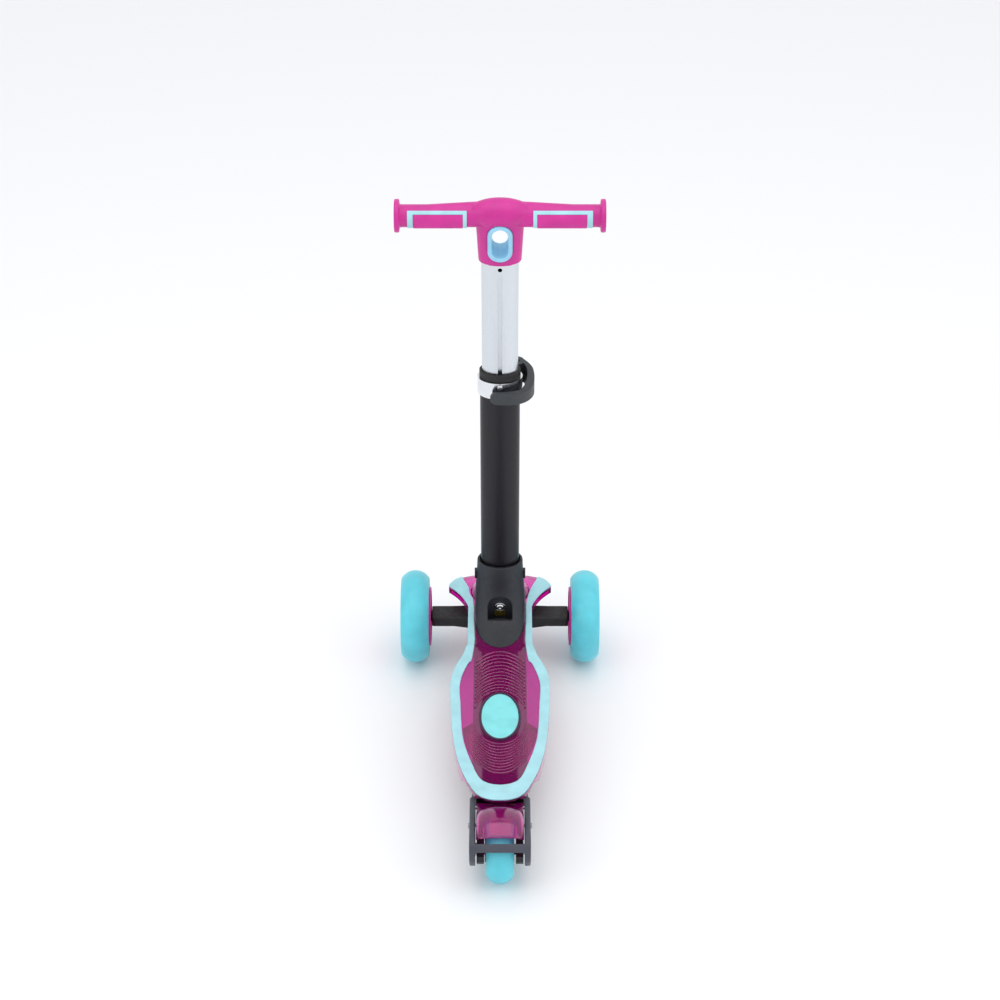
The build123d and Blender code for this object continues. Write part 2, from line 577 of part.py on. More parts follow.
with BuildPart() as tube_foot:
    with BuildSketch(bar.offset(UPPER_LOW_S - 8)):
        Ellipse(LOWER_RX - TUBE_WALL - GAP, LOWER_RY - TUBE_WALL - GAP)
    extrude(amount=8 - SEAT)
    with BuildSketch(bar.offset(UPPER_LOW_S - 4)):
        Ellipse(UPPER_RX - TUBE_WALL - SEAT, UPPER_RY - TUBE_WALL - SEAT)
    extrude(amount=16)
    with BuildSketch(bar.offset(UPPER_LOW_S - SEAT)):
        with Locations((0, -UPPER_RY + (GROOVE_DEPTH + TUBE_WALL) / 2)):
            Rectangle(2 * (GROOVE_HALF + TUBE_WALL + SEAT), GROOVE_DEPTH + TUBE_WALL + SEAT)
    extrude(amount=16, mode=Mode.SUBTRACT)
keep(tube_foot.part, "tube_foot")

# Clamp collar: a split band with two lugs at the front, pulled together by the bolt.
with BuildPart() as clamp_collar:
    with BuildSketch(bar.offset(COLLAR_LOW_S)):
        Ellipse(LOWER_RX + COLLAR_T, LOWER_RY + COLLAR_T)
    extrude(amount=LOWER_TOP_S - COLLAR_LOW_S - 0.5)
    with BuildSketch(bar.offset(COLLAR_LOW_S)):
        with Locations((0, (LUG_Y + LOWER_RY) / 2 + 2)):
            RectangleRounded(2 * LUG_X, LUG_Y - LOWER_RY + 8, 2.5)
    extrude(amount=16)
    with BuildSketch(bar.offset(COLLAR_LOW_S)):
        Ellipse(LOWER_RX + 0.1, LOWER_RY + 0.1)
        with Locations((0, LOWER_RY + 10)):
            Rectangle(2.4, 24)
    extrude(amount=40, mode=Mode.SUBTRACT)
    with BuildSketch(Plane(origin=bar.from_local_coords((-30, LUG_Y, CLAMP_S)), z_dir=(1, 0, 0))):
        Circle(2.55)
    extrude(amount=60, mode=Mode.SUBTRACT)
    add(back_hole(PIN_R + SEAT), mode=Mode.SUBTRACT)
    add(back_hole(PIN_HEAD_R + SEAT, PIN_TRAVEL + 3 * SEAT - LOWER_RY - COLLAR_T - PIN_PROUD),
        mode=Mode.SUBTRACT)
keep(clamp_collar.part, "clamp_collar")

EYE_R, EYE_HALF = 5.4, 2.4
CAM_PIN_R = 2.5
clamp_left = Plane(origin=bar.from_local_coords((-LUG_X - SEAT, LUG_Y, CLAMP_S)), x_dir=bar.y_dir,
                   z_dir=(-1, 0, 0))
with BuildPart() as clamp_bolt:
    with BuildSketch(clamp_left.offset(4.5)):
        Circle(2.5)
    extrude(amount=-(CAM_X + LUG_X + 4.5 - 3))
    with BuildSketch(bar.offset(CLAMP_S - EYE_HALF)):
        with Locations((CAM_X, LUG_Y)):
            Circle(EYE_R)
    extrude(amount=2 * EYE_HALF)
    with BuildSketch(bar.offset(CLAMP_S - EYE_HALF - 1)):
        with Locations((CAM_X, LUG_Y)):
            Circle(CAM_PIN_R + FIT)
    extrude(amount=2 * EYE_HALF + 2, mode=Mode.SUBTRACT)
keep(clamp_bolt.part, "clamp_bolt")
keep(hexagon(clamp_left, 8.0, 4.0, 2.5 + SEAT), "clamp_nut")

LEVER_LOW_S, LEVER_HIGH_S = COLLAR_LOW_S - 1, LOWER_TOP_S - 9
LEVER_RISE = 14.0          # lever is taller by this much over its pivot
with BuildPart() as cam_pin:
    with BuildSketch(bar.offset(LEVER_LOW_S - 0.8)):
        with Locations((CAM_X, LUG_Y)):
            Circle(CAM_PIN_R)
    extrude(amount=LEVER_HIGH_S - LEVER_LOW_S + 1.6)
keep(cam_pin.part, "cam_pin")

CAM_R = 8.0
SADDLE_T = 2.6
with BuildPart() as cam_saddle:
    with BuildSketch(Plane(origin=bar.from_local_coords((LUG_X + SEAT, LUG_Y, CLAMP_S)), x_dir=bar.y_dir,
                           z_dir=(1, 0, 0))):
        RectangleRounded(9.6, 15, 2)
        Circle(2.6, mode=Mode.SUBTRACT)
    extrude(amount=SADDLE_T)
keep(cam_saddle.part, "cam_saddle")

# Quick-release lever: a cam and a broad band that hooks round the bar's right side and back.
with BuildPart() as clamp_lever:
    with BuildSketch(bar.offset(LEVER_LOW_S)):
        with BuildLine():
            Spline((CAM_X + 6, LUG_Y - 4), (31.4, 9), (31.6, -4), (25.0, -15.4), (11, -20.8), (-12, -20.6))
            Line((-12, -20.6), (-12, -25.4))
            Spline((-12, -25.4), (11, -27.0), (30.5, -21.0), (40.8, -5), (37.6, 12), (CAM_X + 5, LUG_Y + 5))
            Line((CAM_X + 5, LUG_Y + 5), (CAM_X + 6, LUG_Y - 4))
        make_face()
        with Locations((CAM_X, LUG_Y)):
            Circle(CAM_R)
    extrude(amount=LEVER_HIGH_S + LEVER_RISE - LEVER_LOW_S)
    with BuildSketch(Plane(origin=bar.origin, x_dir=bar.y_dir, z_dir=(1, 0, 0))):
        Polygon((-60, LEVER_HIGH_S), (-16, LEVER_HIGH_S), (8, LEVER_HIGH_S + LEVER_RISE),
                (8, LEVER_HIGH_S + 60), (-60, LEVER_HIGH_S + 60), align=None)
    extrude(amount=60, both=True, mode=Mode.SUBTRACT)
    with BuildSketch(bar.offset(CLAMP_S - EYE_HALF - 0.5)):
        with Locations((CAM_X, LUG_Y)):
            Circle(EYE_R + 0.6)
        with Locations((CAM_X - 4.5, LUG_Y + 3.5)):
            Rectangle(21, 13)
    extrude(amount=2 * EYE_HALF + 1, mode=Mode.SUBTRACT)
    with BuildSketch(bar.offset(LEVER_LOW_S - 5)):
        with Locations((CAM_X, LUG_Y)):
            Circle(CAM_PIN_R + FIT)
    extrude(amount=LEVER_HIGH_S - LEVER_LOW_S + LEVER_RISE + 10, mode=Mode.SUBTRACT)
    # Rounded tip, seen from the back.
    with BuildSketch(bar_section(-15, (LEVER_LOW_S + LEVER_HIGH_S) / 2)):
        with Locations((-12, 0)):
            Rectangle(14, 30)
        with Locations((-3.9, 0)):
            Circle(8, mode=Mode.SUBTRACT)
    extrude(amount=20, mode=Mode.SUBTRACT)
keep(clamp_lever.part, "clamp_lever")

with BuildPart() as height_pin:
    with BuildSketch(bar_section(-UPPER_RY + PIN_REACH, PIN_S)):
        Circle(PIN_R)
    extrude(amount=LOWER_RY + COLLAR_T + PIN_PROUD + 0.5 - UPPER_RY + PIN_REACH)
    with BuildSketch(bar_section(-LOWER_RY - COLLAR_T - PIN_PROUD, PIN_S)):
        Circle(PIN_HEAD_R)
    extrude(amount=2.3)
    fillet(height_pin.faces().sort_by(Axis(bar_section(0, PIN_S).origin, -bar.y_dir))[-1].edges(), 0.9)
keep(height_pin.part, "height_pin")

# ---------------------------------------------------------------- handle
NECK_RX, NECK_RY = 25.6, 15.4
BULGE_R, BULGE_HALF, BULGE_UP = 17.5, 44.0, 4.0
FLANGE_R, FLANGE_W = 19.0, 6.0
with BuildPart() as neck:
    with BuildSketch(bar.offset(NECK_S)):
        Ellipse(NECK_RX - 0.8, NECK_RY - 0.4)
    with BuildSketch(bar.offset(HANDLE_S - 6)):
        Ellipse(NECK_RX + 2.0, NECK_RY)
    loft()
with BuildPart() as handle:
    add(neck.part)
    with BuildSketch(Plane(origin=bar.from_local_coords((0, 0, HANDLE_S)), x_dir=(1, 0, 0), z_dir=bar.y_dir)):
        with BuildLine():
            reach = HANDLE_W / 2
            neck_x = reach - FLANGE_W
            Polyline((-reach, 0), (-reach, FLANGE_R), (-neck_x, FLANGE_R), (-neck_x, GRIP_R),
                     (neck_x, GRIP_R), (neck_x, FLANGE_R), (reach, FLANGE_R), (reach, 0), close=True)
        make_face()
    revolve(axis=Axis(bar.from_local_coords((0, 0, HANDLE_S)), (1, 0, 0)))
    with BuildSketch(Plane(origin=bar.from_local_coords((0, 0, HANDLE_S + BULGE_UP)), x_dir=(1, 0, 0),
                           z_dir=bar.y_dir)):
        with BuildLine():
            Spline((-BULGE_HALF, 7), (-BULGE_HALF * 0.6, 12.5), (0, BULGE_R), (BULGE_HALF * 0.6, 12.5),
                   (BULGE_HALF, 7), tangents=[(1, 0), (1, 0)])
            Polyline((BULGE_HALF, 7), (BULGE_HALF, 0), (-BULGE_HALF, 0), (-BULGE_HALF, 7))
        make_face()
    revolve(axis=Axis(bar.from_local_coords((0, 0, HANDLE_S + BULGE_UP)), (1, 0, 0)))
    with BuildSketch(bar):
        Ellipse(UPPER_RX + SEAT, UPPER_RY + SEAT)
    extrude(amount=HANDLE_TUBE_S + SEAT, mode=Mode.SUBTRACT)
    with BuildSketch(bar_section(-60, SLOT_S)):
        SlotOverall(2 * (SLOT_HALF_H + LINER_T), 2 * (SLOT_HALF_W + LINER_T), rotation=90)
    extrude(amount=-120, mode=Mode.SUBTRACT)
    # Plain ring engraved on the crown.
    with BuildSketch(bar.offset(HANDLE_S + BULGE_UP + BULGE_R - 1.2)):
        Circle(11)
        Circle(9.2, mode=Mode.SUBTRACT)
    extrude(amount=10, mode=Mode.SUBTRACT)
keep(handle.part, "handle")

with BuildPart() as slot_liner:
    with BuildSketch(bar_section(-NECK_RY - 0.6, SLOT_S)):
        SlotOverall(2 * (SLOT_HALF_H + LINER_T - SEAT), 2 * (SLOT_HALF_W + LINER_T - SEAT), rotation=90)
        SlotOverall(2 * SLOT_HALF_H, 2 * SLOT_HALF_W, rotation=90, mode=Mode.SUBTRACT)
    extrude(amount=-2 * NECK_RY - 1.2)
keep(slot_liner.part, "slot_liner")

GRIP_PAD_IN, GRIP_PAD_OUT = 42.0, 98.0
GRIP_BAND_IN, GRIP_BAND_OUT = 37.5, 104.5
PAD_SKIN, BAND_SKIN = 1.3, 0.9


def grip_shell(inner_x, outer_x, skin, high_angle, low_angle):
    """Shell on the back of both grips, between two angles measured down from the bar's own up."""
    with BuildPart() as shell:
        for low_x in (inner_x, -outer_x):
            with BuildSketch(Plane(origin=bar.from_local_coords((low_x, 0, HANDLE_S)),
                                   x_dir=bar.y_dir, z_dir=(1, 0, 0))):
                Circle(GRIP_R + skin)
                Circle(GRIP_R + SEAT, mode=Mode.SUBTRACT)
                with BuildLine():
                    reach = 3 * GRIP_R
                    span = [radians(high_angle + (low_angle - high_angle) * share / 4) for share in range(5)]
                    Polyline((0, 0), *[(-reach * sin(a), reach * cos(a)) for a in span], close=True)
                make_face(mode=Mode.INTERSECT)
            extrude(amount=outer_x - inner_x)
    return shell.part


grip_pads = grip_shell(GRIP_PAD_IN, GRIP_PAD_OUT, PAD_SKIN, 52, 150)
keep(grip_pads, "grip_pads")

with BuildPart() as grip_bands:
    add(grip_shell(GRIP_BAND_IN, GRIP_BAND_OUT, BAND_SKIN, 32, 150))
    add(grip_shell(GRIP_PAD_IN - 0.2, GRIP_PAD_OUT + 0.2, PAD_SKIN + 2, 50.5, 158), mode=Mode.SUBTRACT)
keep(grip_bands.part, "grip_bands")

# ================================================================ wheels
BEARING_OR, BEARING_W = 11.0, 7.0
BOSS_R = 6.2


@dataclass(frozen=True)
class WheelSizes:
    """Sizes of one kind of wheel, along the axle from the tyre's middle, outwards positive."""

    radius: float
    tyre_w: float
    core_r: float              # hub's outside, under the tyre
    rim_t: float
    shoulder: float            # drop from the tread's crown to its edges
    inner: float               # rim stands this far out of the tyre's inner side
    boss: float                # hub's boss past the outer bearing
    seats: tuple               # where the two bearings start
    windows: int               # round openings in the web


def ring(axle, outward, inner_r, outer_r, low, high):
    """Plain ring round an axle."""
    with BuildPart() as piece:
        with BuildSketch(Plane(origin=axle, x_dir=(0, 1, 0), z_dir=(outward, 0, 0)).offset(low)):
            Circle(outer_r)
            Circle(inner_r, mode=Mode.SUBTRACT)
        extrude(amount=high - low)
    return piece.part


def wheel_parts(axle, outward, sizes):
    """Tyre, hub, pair of bearings and spacer of one wheel."""
    section = Plane(origin=axle, x_dir=(0, 1, 0), z_dir=(0, 0, -outward))
    axis = Axis(axle, (1, 0, 0))
    half = sizes.tyre_w / 2
    side_r = sizes.radius - sizes.shoulder
    with BuildPart() as tyre:
        with BuildSketch(section):
            with BuildLine():
                bore_r = sizes.core_r + SEAT
                Polyline((side_r, half), (bore_r, half), (bore_r, -half), (side_r, -half))
                ThreePointArc((side_r, -half), (sizes.radius, 0), (side_r, half))
            make_face()
        revolve(axis=axis)
    inner_seat, outer_seat = sizes.seats
    with BuildPart() as hub:
        with BuildSketch(section):
            with BuildLine():
                low_rim, high_rim = -half - sizes.inner, half - 1.0
                boss_high = outer_seat + BEARING_W + sizes.boss
                boss_low = inner_seat - 2.5
                inner_rim = sizes.core_r - sizes.rim_t
                Polyline((BEARING_OR + SEAT, boss_low), (BEARING_OR + 4, boss_low), (BEARING_OR + 5.5, -4),
                         (inner_rim, -4), (inner_rim, low_rim),
                         (sizes.core_r, low_rim), (sizes.core_r, high_rim),
                         (inner_rim, high_rim), (inner_rim, 4),
                         (BEARING_OR + 5.5, 4), (BEARING_OR + 4, boss_high),
                         (BEARING_OR + SEAT, boss_high), (BEARING_OR + SEAT, outer_seat),
                         (BEARING_OR - 2.5, outer_seat), (BEARING_OR - 2.5, inner_seat + BEARING_W),
                         (BEARING_OR + SEAT, inner_seat + BEARING_W), close=True)
            make_face()
        revolve(axis=axis)
        if sizes.windows:
            middle_r = (sizes.core_r - sizes.rim_t + BEARING_OR + 5.5) / 2
            window_r = (sizes.core_r - sizes.rim_t - BEARING_OR - 5.5) / 2 - 1.6
            with BuildSketch(Plane(origin=axle, x_dir=(0, 1, 0), z_dir=(1, 0, 0)).offset(-20)):
                with PolarLocations(middle_r, sizes.windows):
                    Circle(window_r)
            extrude(amount=40, mode=Mode.SUBTRACT)
    with BuildPart() as bearings:
        for seat in sizes.seats:
            with BuildSketch(section):
                with BuildLine():
                    low, high = seat + SEAT, seat + BEARING_W - SEAT
                    Polyline((BOLT_R, low), (6.0, low), (6.2, low + 0.4), (9.2, low + 0.4), (9.4, low),
                             (BEARING_OR, low), (BEARING_OR, high), (9.4, high), (9.2, high - 0.4),
                             (6.2, high - 0.4), (6.0, high), (BOLT_R, high), close=True)
                make_face()
            revolve(axis=axis)
    spacer = ring(axle, outward, BOLT_R + SEAT, BOLT_R + 2, inner_seat + BEARING_W, outer_seat)
    return tyre.part, hub.part, bearings.part, spacer


FRONT_SIZES = WheelSizes(FRONT_R, FRONT_TYRE_W, 38.0, 4.5, 10.0, 2.5, 5.5, (-15.0, 3.0), 7)
REAR_SIZES = WheelSizes(REAR_R, REAR_TYRE_W, 24.0, 2.6, 9.0, 0.0, 1.5, (-15.0, 8.0), 0)
front_axles = {"left": ((-TRACK / 2, FRONT_Y, FRONT_R), -1), "right": ((TRACK / 2, FRONT_Y, FRONT_R), 1)}
for side, (axle, outward) in front_axles.items():
    for piece, name in zip(wheel_parts(axle, outward, FRONT_SIZES), ("tyre", "hub", "bearings", "spacer")):
        keep(piece, f"front_{name}_{side}")
    cap_seat = FRONT_SIZES.seats[1] + BEARING_W + FRONT_SIZES.boss
    with BuildPart() as wheel_cap:
        add(ring(axle, outward, 9.4, BEARING_OR, cap_seat - 5.3, cap_seat + SEAT))
        with BuildSketch(Plane(origin=axle, x_dir=(0, 1, 0), z_dir=(outward, 0, 0)).offset(cap_seat + SEAT)):
            Circle(BEARING_OR + 4)
        extrude(amount=2.0)
        fillet(wheel_cap.faces().sort_by(Axis(axle, (outward, 0, 0)))[-1].edges(), 1.2)
    keep(wheel_cap.part, f"wheel_cap_{side}")

# ================================================================ steering truck
BEAM_DEPTH = 30.0
ARM_END_X = TRACK / 2 - FRONT_TYRE_W / 2 - 3.5
BEAM_BOSS_X = TRACK / 2 - 15.0 + SEAT
ARM_HOLE_DEPTH = 30.0
ARM_CLEAR = 3.2            # round clearance in the beam for the bushings and their seats
with BuildPart() as axle_beam:
    with BuildSketch(Plane(origin=(0, FRONT_Y, 0), x_dir=(1, 0, 0), z_dir=(0, -1, 0))):
        with BuildLine():
            Polyline((0, FRONT_R - 14), (28, FRONT_R - 12), (60, FRONT_R - 7), (ARM_END_X, FRONT_R - 7),
                     (ARM_END_X, FRONT_R + 7), (62, FRONT_R + 7), (40, FRONT_R + 8), (0, FRONT_R + 7))
            mirror(about=Plane.YZ)
        make_face()
    extrude(amount=BEAM_DEPTH / 2, both=True)
    fillet(axle_beam.faces().filter_by(Axis.Y).edges(), 3)
    with BuildSketch(king.offset(-HUB_HALF)):
        Circle(HUB_R)
    extrude(amount=2 * HUB_HALF)
    for end in (-1, 1):
        with BuildSketch(king.offset(end * HUB_HALF)):
            Circle(BUSH_R + ARM_CLEAR)
        extrude(amount=end * 40, mode=Mode.SUBTRACT)
    with BuildSketch(king.offset(-40)):
        Circle(BOLT_R)
    extrude(amount=80, mode=Mode.SUBTRACT)
    for end in (-1, 1):
        wheel_side = Plane(origin=(end * (ARM_END_X - 1), FRONT_Y, FRONT_R), x_dir=(0, 1, 0),
                           z_dir=(end, 0, 0))
        with BuildSketch(wheel_side):
            Circle(BOSS_R)
        extrude(amount=BEAM_BOSS_X - ARM_END_X + 1 - 2 * SEAT)
        with BuildSketch(wheel_side.offset(-ARM_HOLE_DEPTH)):
            Circle(BOLT_R)
        extrude(amount=2 * ARM_HOLE_DEPTH, mode=Mode.SUBTRACT)
keep(axle_beam.part, "axle_beam")

bolt_seat = FRONT_SIZES.seats[1] + BEARING_W + SEAT
with BuildPart() as front_axle_bolts:
    for axle, outward in front_axles.values():
        head_plane = Plane(origin=axle, x_dir=(0, 1, 0), z_dir=(outward, 0, 0)).offset(bolt_seat)
        add(cap_bolt(head_plane, BOLT_R - FIT, bolt_seat + TRACK / 2 - ARM_END_X + ARM_HOLE_DEPTH - 4,
                     6.5, 4.6, 3.0))
keep(front_axle_bolts.part, "front_axle_bolts")


def bushing(low, high):
    """Elastomer ring on the steering axis, waisted in the middle."""
    with BuildPart() as piece:
        with BuildSketch(king.offset(low)):
            Circle(BUSH_R)
            Circle(BOLT_R + GAP, mode=Mode.SUBTRACT)
        extrude(amount=high - low)
        fillet(piece.faces().filter_by(GeomType.PLANE).edges().filter_by(
            lambda edge: edge.radius > BUSH_R - 1), 1.4)
    return piece.part


keep(bushing(HUB_HALF + SEAT, SEAT_T - GAP), "upper_bushing")
WASHER_T = 1.6
keep(bushing(-SEAT_T + SEAT, -HUB_HALF - SEAT), "lower_bushing")
with BuildPart() as king_washer:
    with BuildSketch(king.offset(-SEAT_T - GAP)):
        Circle(BUSH_R + 0.5)
        Circle(BOLT_R + SEAT, mode=Mode.SUBTRACT)
    extrude(amount=-WASHER_T)
keep(king_washer.part, "king_washer")
KING_NUT_T = 6.5
king_nut_plane = king.offset(-SEAT_T - GAP - WASHER_T - SEAT - KING_NUT_T)
keep(hexagon(king_nut_plane, 13.0, KING_NUT_T, BOLT_R), "king_nut")
keep(cap_bolt(king.offset(SEAT_T + 6.5 + SEAT), BOLT_R - FIT, 2 * SEAT_T + 6.5 + WASHER_T + KING_NUT_T + 2.5,
              6.5, 4.5, 3.0), "kingpin")

# ================================================================ rear fork, wheel and brake
TYRE_CLEAR = 3.5           # fork, crossbar and fender stay this far off the tyre
YOKE_IN, YOKE_OUT = REAR_TYRE_W / 2 + 2.5, REAR_TYRE_W / 2 + 11
COVER_IN, COVER_OUT = YOKE_OUT + 1.8, YOKE_OUT + 8.5
YOKE_TOP = DECK_Z - SPINE_LOW + YOKE_STEP - SEAT
COVER_SCREW_Y, COVER_SCREW_Z = REAR_Y + 30, REAR_R + 10
with BuildPart() as rear_yoke:
    with BuildSketch(Plane.YZ):
        with BuildLine():
            Polyline((YOKE_FRONT_Y, YOKE_TOP), (YOKE_FRONT_Y, YOKE_TOP - 10),
                     (REAR_Y + 40, REAR_R - 4), (REAR_Y + 14, REAR_R - 12), (REAR_Y - 12, REAR_R - 12),
                     (REAR_Y - 24, REAR_R + 1), (REAR_Y - 24, REAR_R + 9), (REAR_Y - 2, REAR_R + 13),
                     (REAR_Y + 28, YOKE_TOP), close=True)
        make_face()
    extrude(amount=YOKE_OUT, both=True)
    with BuildSketch(Plane.YZ):
        with Locations((REAR_Y, REAR_R)):
            Circle(REAR_R + TYRE_CLEAR)
    extrude(amount=YOKE_IN, both=True, mode=Mode.SUBTRACT)
    for end in (-1, 1):
        with BuildSketch(Plane(origin=(end * YOKE_IN, REAR_Y, REAR_R), x_dir=(0, 1, 0), z_dir=(-end, 0, 0))):
            Circle(BOSS_R)
        extrude(amount=YOKE_IN - BEARING_W - 8 - SEAT)
    with BuildSketch(Plane.YZ.offset(-COVER_OUT)):
        with Locations((REAR_Y, REAR_R)):
            Circle(BOLT_R)
        with Locations((COVER_SCREW_Y, COVER_SCREW_Z)):
            Circle(1.7)
    extrude(amount=2 * COVER_OUT, mode=Mode.SUBTRACT)
    with BuildSketch(Plane.XY):
        with Locations(*[(x, YOKE_SCREW_Y) for x in (-YOKE_SCREW_X, YOKE_SCREW_X)]):
            Circle(2.1)
    extrude(amount=NECK_Z, mode=Mode.SUBTRACT)
    with BuildSketch(Plane.XY):
        with Locations(*[(x, YOKE_SCREW_Y) for x in (-YOKE_SCREW_X, YOKE_SCREW_X)]):
            Circle(4.6)
    extrude(amount=YOKE_TOP - YOKE_PLATE_T, mode=Mode.SUBTRACT)
keep(rear_yoke.part, "rear_yoke")

# Grey cover: a cheek outside each fork arm, joined behind the wheel by a crossbar.
BAR_IN, BAR_OUT = REAR_R + TYRE_CLEAR, REAR_R + 9.0
COVER_FRONT_Y = SPINE_REAR_Y - 1
with BuildPart() as rear_cover:
    with BuildSketch(Plane.YZ):
        with BuildLine():
            Polyline((COVER_FRONT_Y, DECK_Z - 26), (COVER_FRONT_Y, DECK_Z - 3.2), (TAIL_Y + 4, DECK_Z - 3.2))
            Spline((TAIL_Y + 4, DECK_Z - 3.2), (REAR_Y - 8, DECK_Z - 1), (REAR_Y - 37.5, REAR_R + 28),
                   tangents=[(-1, 0), (-0.15, -1)])
            Spline((REAR_Y - 37.5, REAR_R + 28), (REAR_Y - 36, REAR_R + 12), (REAR_Y - 26, REAR_R - 2),
                   (REAR_Y - 8, REAR_R - 9), tangents=[(-0.15, -1), (1, 0)])
            Line((REAR_Y - 8, REAR_R - 9), (REAR_Y + 18, REAR_R - 9))
            Line((REAR_Y + 18, REAR_R - 9), (COVER_FRONT_Y, DECK_Z - 26))
        make_face()
    extrude(amount=COVER_OUT, both=True)
    fillet(rear_cover.faces().sort_by(Axis.X)[-1].edges(), 2.2)
    fillet(rear_cover.faces().sort_by(Axis.X)[0].edges(), 2.2)
    with BuildSketch(Plane.XY):
        Rectangle(2 * COVER_IN, 1000)
    extrude(amount=200, mode=Mode.SUBTRACT)
    with BuildSketch(Plane.YZ):
        with Locations((REAR_Y, REAR_R)):
            Circle(BAR_OUT)
            Circle(BAR_IN, mode=Mode.SUBTRACT)
        with BuildLine():
            reach = 3 * REAR_R
            low, high = radians(36), radians(48)
            Polyline((REAR_Y, REAR_R), (REAR_Y - reach * cos(low), REAR_R + reach * sin(low)),
                     (REAR_Y - reach * cos(high), REAR_R + reach * sin(high)), close=True)
        make_face(mode=Mode.INTERSECT)
    extrude(amount=COVER_IN + 2, both=True)
    with BuildSketch(Plane.YZ.offset(-COVER_OUT)):
        with Locations((REAR_Y, REAR_R)):
            Circle(7.6)
        with Locations((PIN_Y, PIN_Z)):
            Circle(BRAKE_PIN_R + SEAT)
        with Locations((COVER_SCREW_Y, COVER_SCREW_Z)):
            Circle(1.7)
    extrude(amount=2 * COVER_OUT, mode=Mode.SUBTRACT)
keep(rear_cover.part, "rear_cover")

for piece, name in zip(wheel_parts(rear_axle, 1, REAR_SIZES), ("tyre", "hub", "bearings", "spacer")):
    keep(piece, f"rear_{name}")
right_side = Plane(origin=(YOKE_OUT + SEAT, REAR_Y, REAR_R), x_dir=(0, 1, 0), z_dir=(1, 0, 0))
left_side = Plane(origin=(-YOKE_OUT - SEAT, REAR_Y, REAR_R), x_dir=(0, 1, 0), z_dir=(-1, 0, 0))
keep(cap_bolt(right_side, BOLT_R - FIT, 2 * YOKE_OUT + 7.5, 6.5, 6.0, 3.0), "rear_axle_bolt")
keep(hexagon(left_side, 13.0, 6.5, BOLT_R), "rear_axle_nut")

FENDER_IN, FENDER_T = REAR_R + 6.0, 3.2
FENDER_FRONT, FENDER_REAR = 42.0, 124.0        # degrees round the axle, from straight ahead
FENDER_HALF = COVER_IN - 0.8
CROWN_HALF = REAR_TYRE_W / 2 + 2
ARM_IN, ARM_OUT = REAR_TYRE_W / 2 + 3, COVER_IN - 1.6
radial = Vector(0, cos(radians(FENDER_FRONT)), sin(radians(FENDER_FRONT)))
fender_start = Plane(origin=rear_axle, x_dir=(1, 0, 0), z_dir=Vector(1, 0, 0).cross(radial))
axle_axis = Axis(rear_axle, (1, 0, 0))

# Brake: a domed fender on a cross pin, pressed down onto the rear wheel by the rider's heel.
with BuildPart() as brake_fender:
    with BuildSketch(fender_start):
        with BuildLine():
            outer, inner = FENDER_IN + FENDER_T, FENDER_IN
            skirt = FENDER_IN - 7.0
            Spline((0, outer + 1.2), (CROWN_HALF * 0.9, outer - 0.4), (FENDER_HALF, skirt),
                   tangents=[(1, 0), (0.25, -1)])
            Line((FENDER_HALF, skirt), (FENDER_HALF - FENDER_T, skirt))
            Spline((FENDER_HALF - FENDER_T, skirt), (CROWN_HALF * 0.8, inner - 0.4), (0, inner),
                   tangents=[(-0.25, 1), (-1, 0)])
            mirror(about=Plane.YZ)
        make_face()
    revolve(axis=axle_axis, revolution_arc=FENDER_REAR - FENDER_FRONT)
    # Two arms run forward to the hinge pin.
    with BuildSketch(Plane.YZ):
        with BuildLine():
            Polyline((PIN_Y - 2, PIN_Z + 5), (PIN_Y - 2, PIN_Z - 5), (PIN_Y - 15, PIN_Z - 3),
                     (PIN_Y - 18, PIN_Z + 9), (PIN_Y - 8, PIN_Z + 8.5), close=True)
        make_face()
        with Locations((PIN_Y, PIN_Z)):
            Circle(5.5)
    extrude(amount=ARM_OUT, both=True)
    with BuildSketch(Plane.XY):
        with Locations((0, PIN_Y - 1)):
            Rectangle(2 * ARM_IN, 15)
        with Locations((0, PIN_Y - 10)):
            Rectangle(2 * ARM_IN - 2, 18)
    extrude(amount=PIN_Z + 4.6, mode=Mode.SUBTRACT)
    with BuildSketch(Plane.YZ):
        with Locations((REAR_Y, REAR_R)):
            Circle(REAR_R + TYRE_CLEAR)
    extrude(amount=REAR_TYRE_W / 2 + 1.5, both=True, mode=Mode.SUBTRACT)
    with BuildSketch(Plane.YZ.offset(-COVER_OUT)):
        with Locations((PIN_Y, PIN_Z)):
            Circle(BRAKE_PIN_R + FIT)
    extrude(amount=2 * COVER_OUT, mode=Mode.SUBTRACT)
keep(brake_fender.part, "brake_fender")

SHOE_T, SHOE_HALF = 1.2, 12.0
SHOE_FRONT, SHOE_REAR = 76.0, 119.0
with BuildPart() as brake_shoe:
    with BuildSketch(Plane.YZ):
        with Locations((REAR_Y, REAR_R)):
            Circle(FENDER_IN - 0.3)
            Circle(FENDER_IN - 0.3 - SHOE_T, mode=Mode.SUBTRACT)
        with BuildLine():
            reach = 3 * REAR_R
            Polyline((REAR_Y, REAR_R), *[(REAR_Y + reach * cos(a), REAR_R + reach * sin(a))
                                         for a in (radians(SHOE_FRONT), radians(SHOE_REAR))], close=True)
        make_face(mode=Mode.INTERSECT)
    extrude(amount=SHOE_HALF, both=True)
keep(brake_shoe.part, "brake_shoe")

with BuildPart() as brake_pin:
    with BuildSketch(Plane.YZ.offset(-COVER_OUT + 1.5)):
        with Locations((PIN_Y, PIN_Z)):
            Circle(BRAKE_PIN_R)
    extrude(amount=2 * COVER_OUT - 3)
keep(brake_pin.part, "brake_pin")

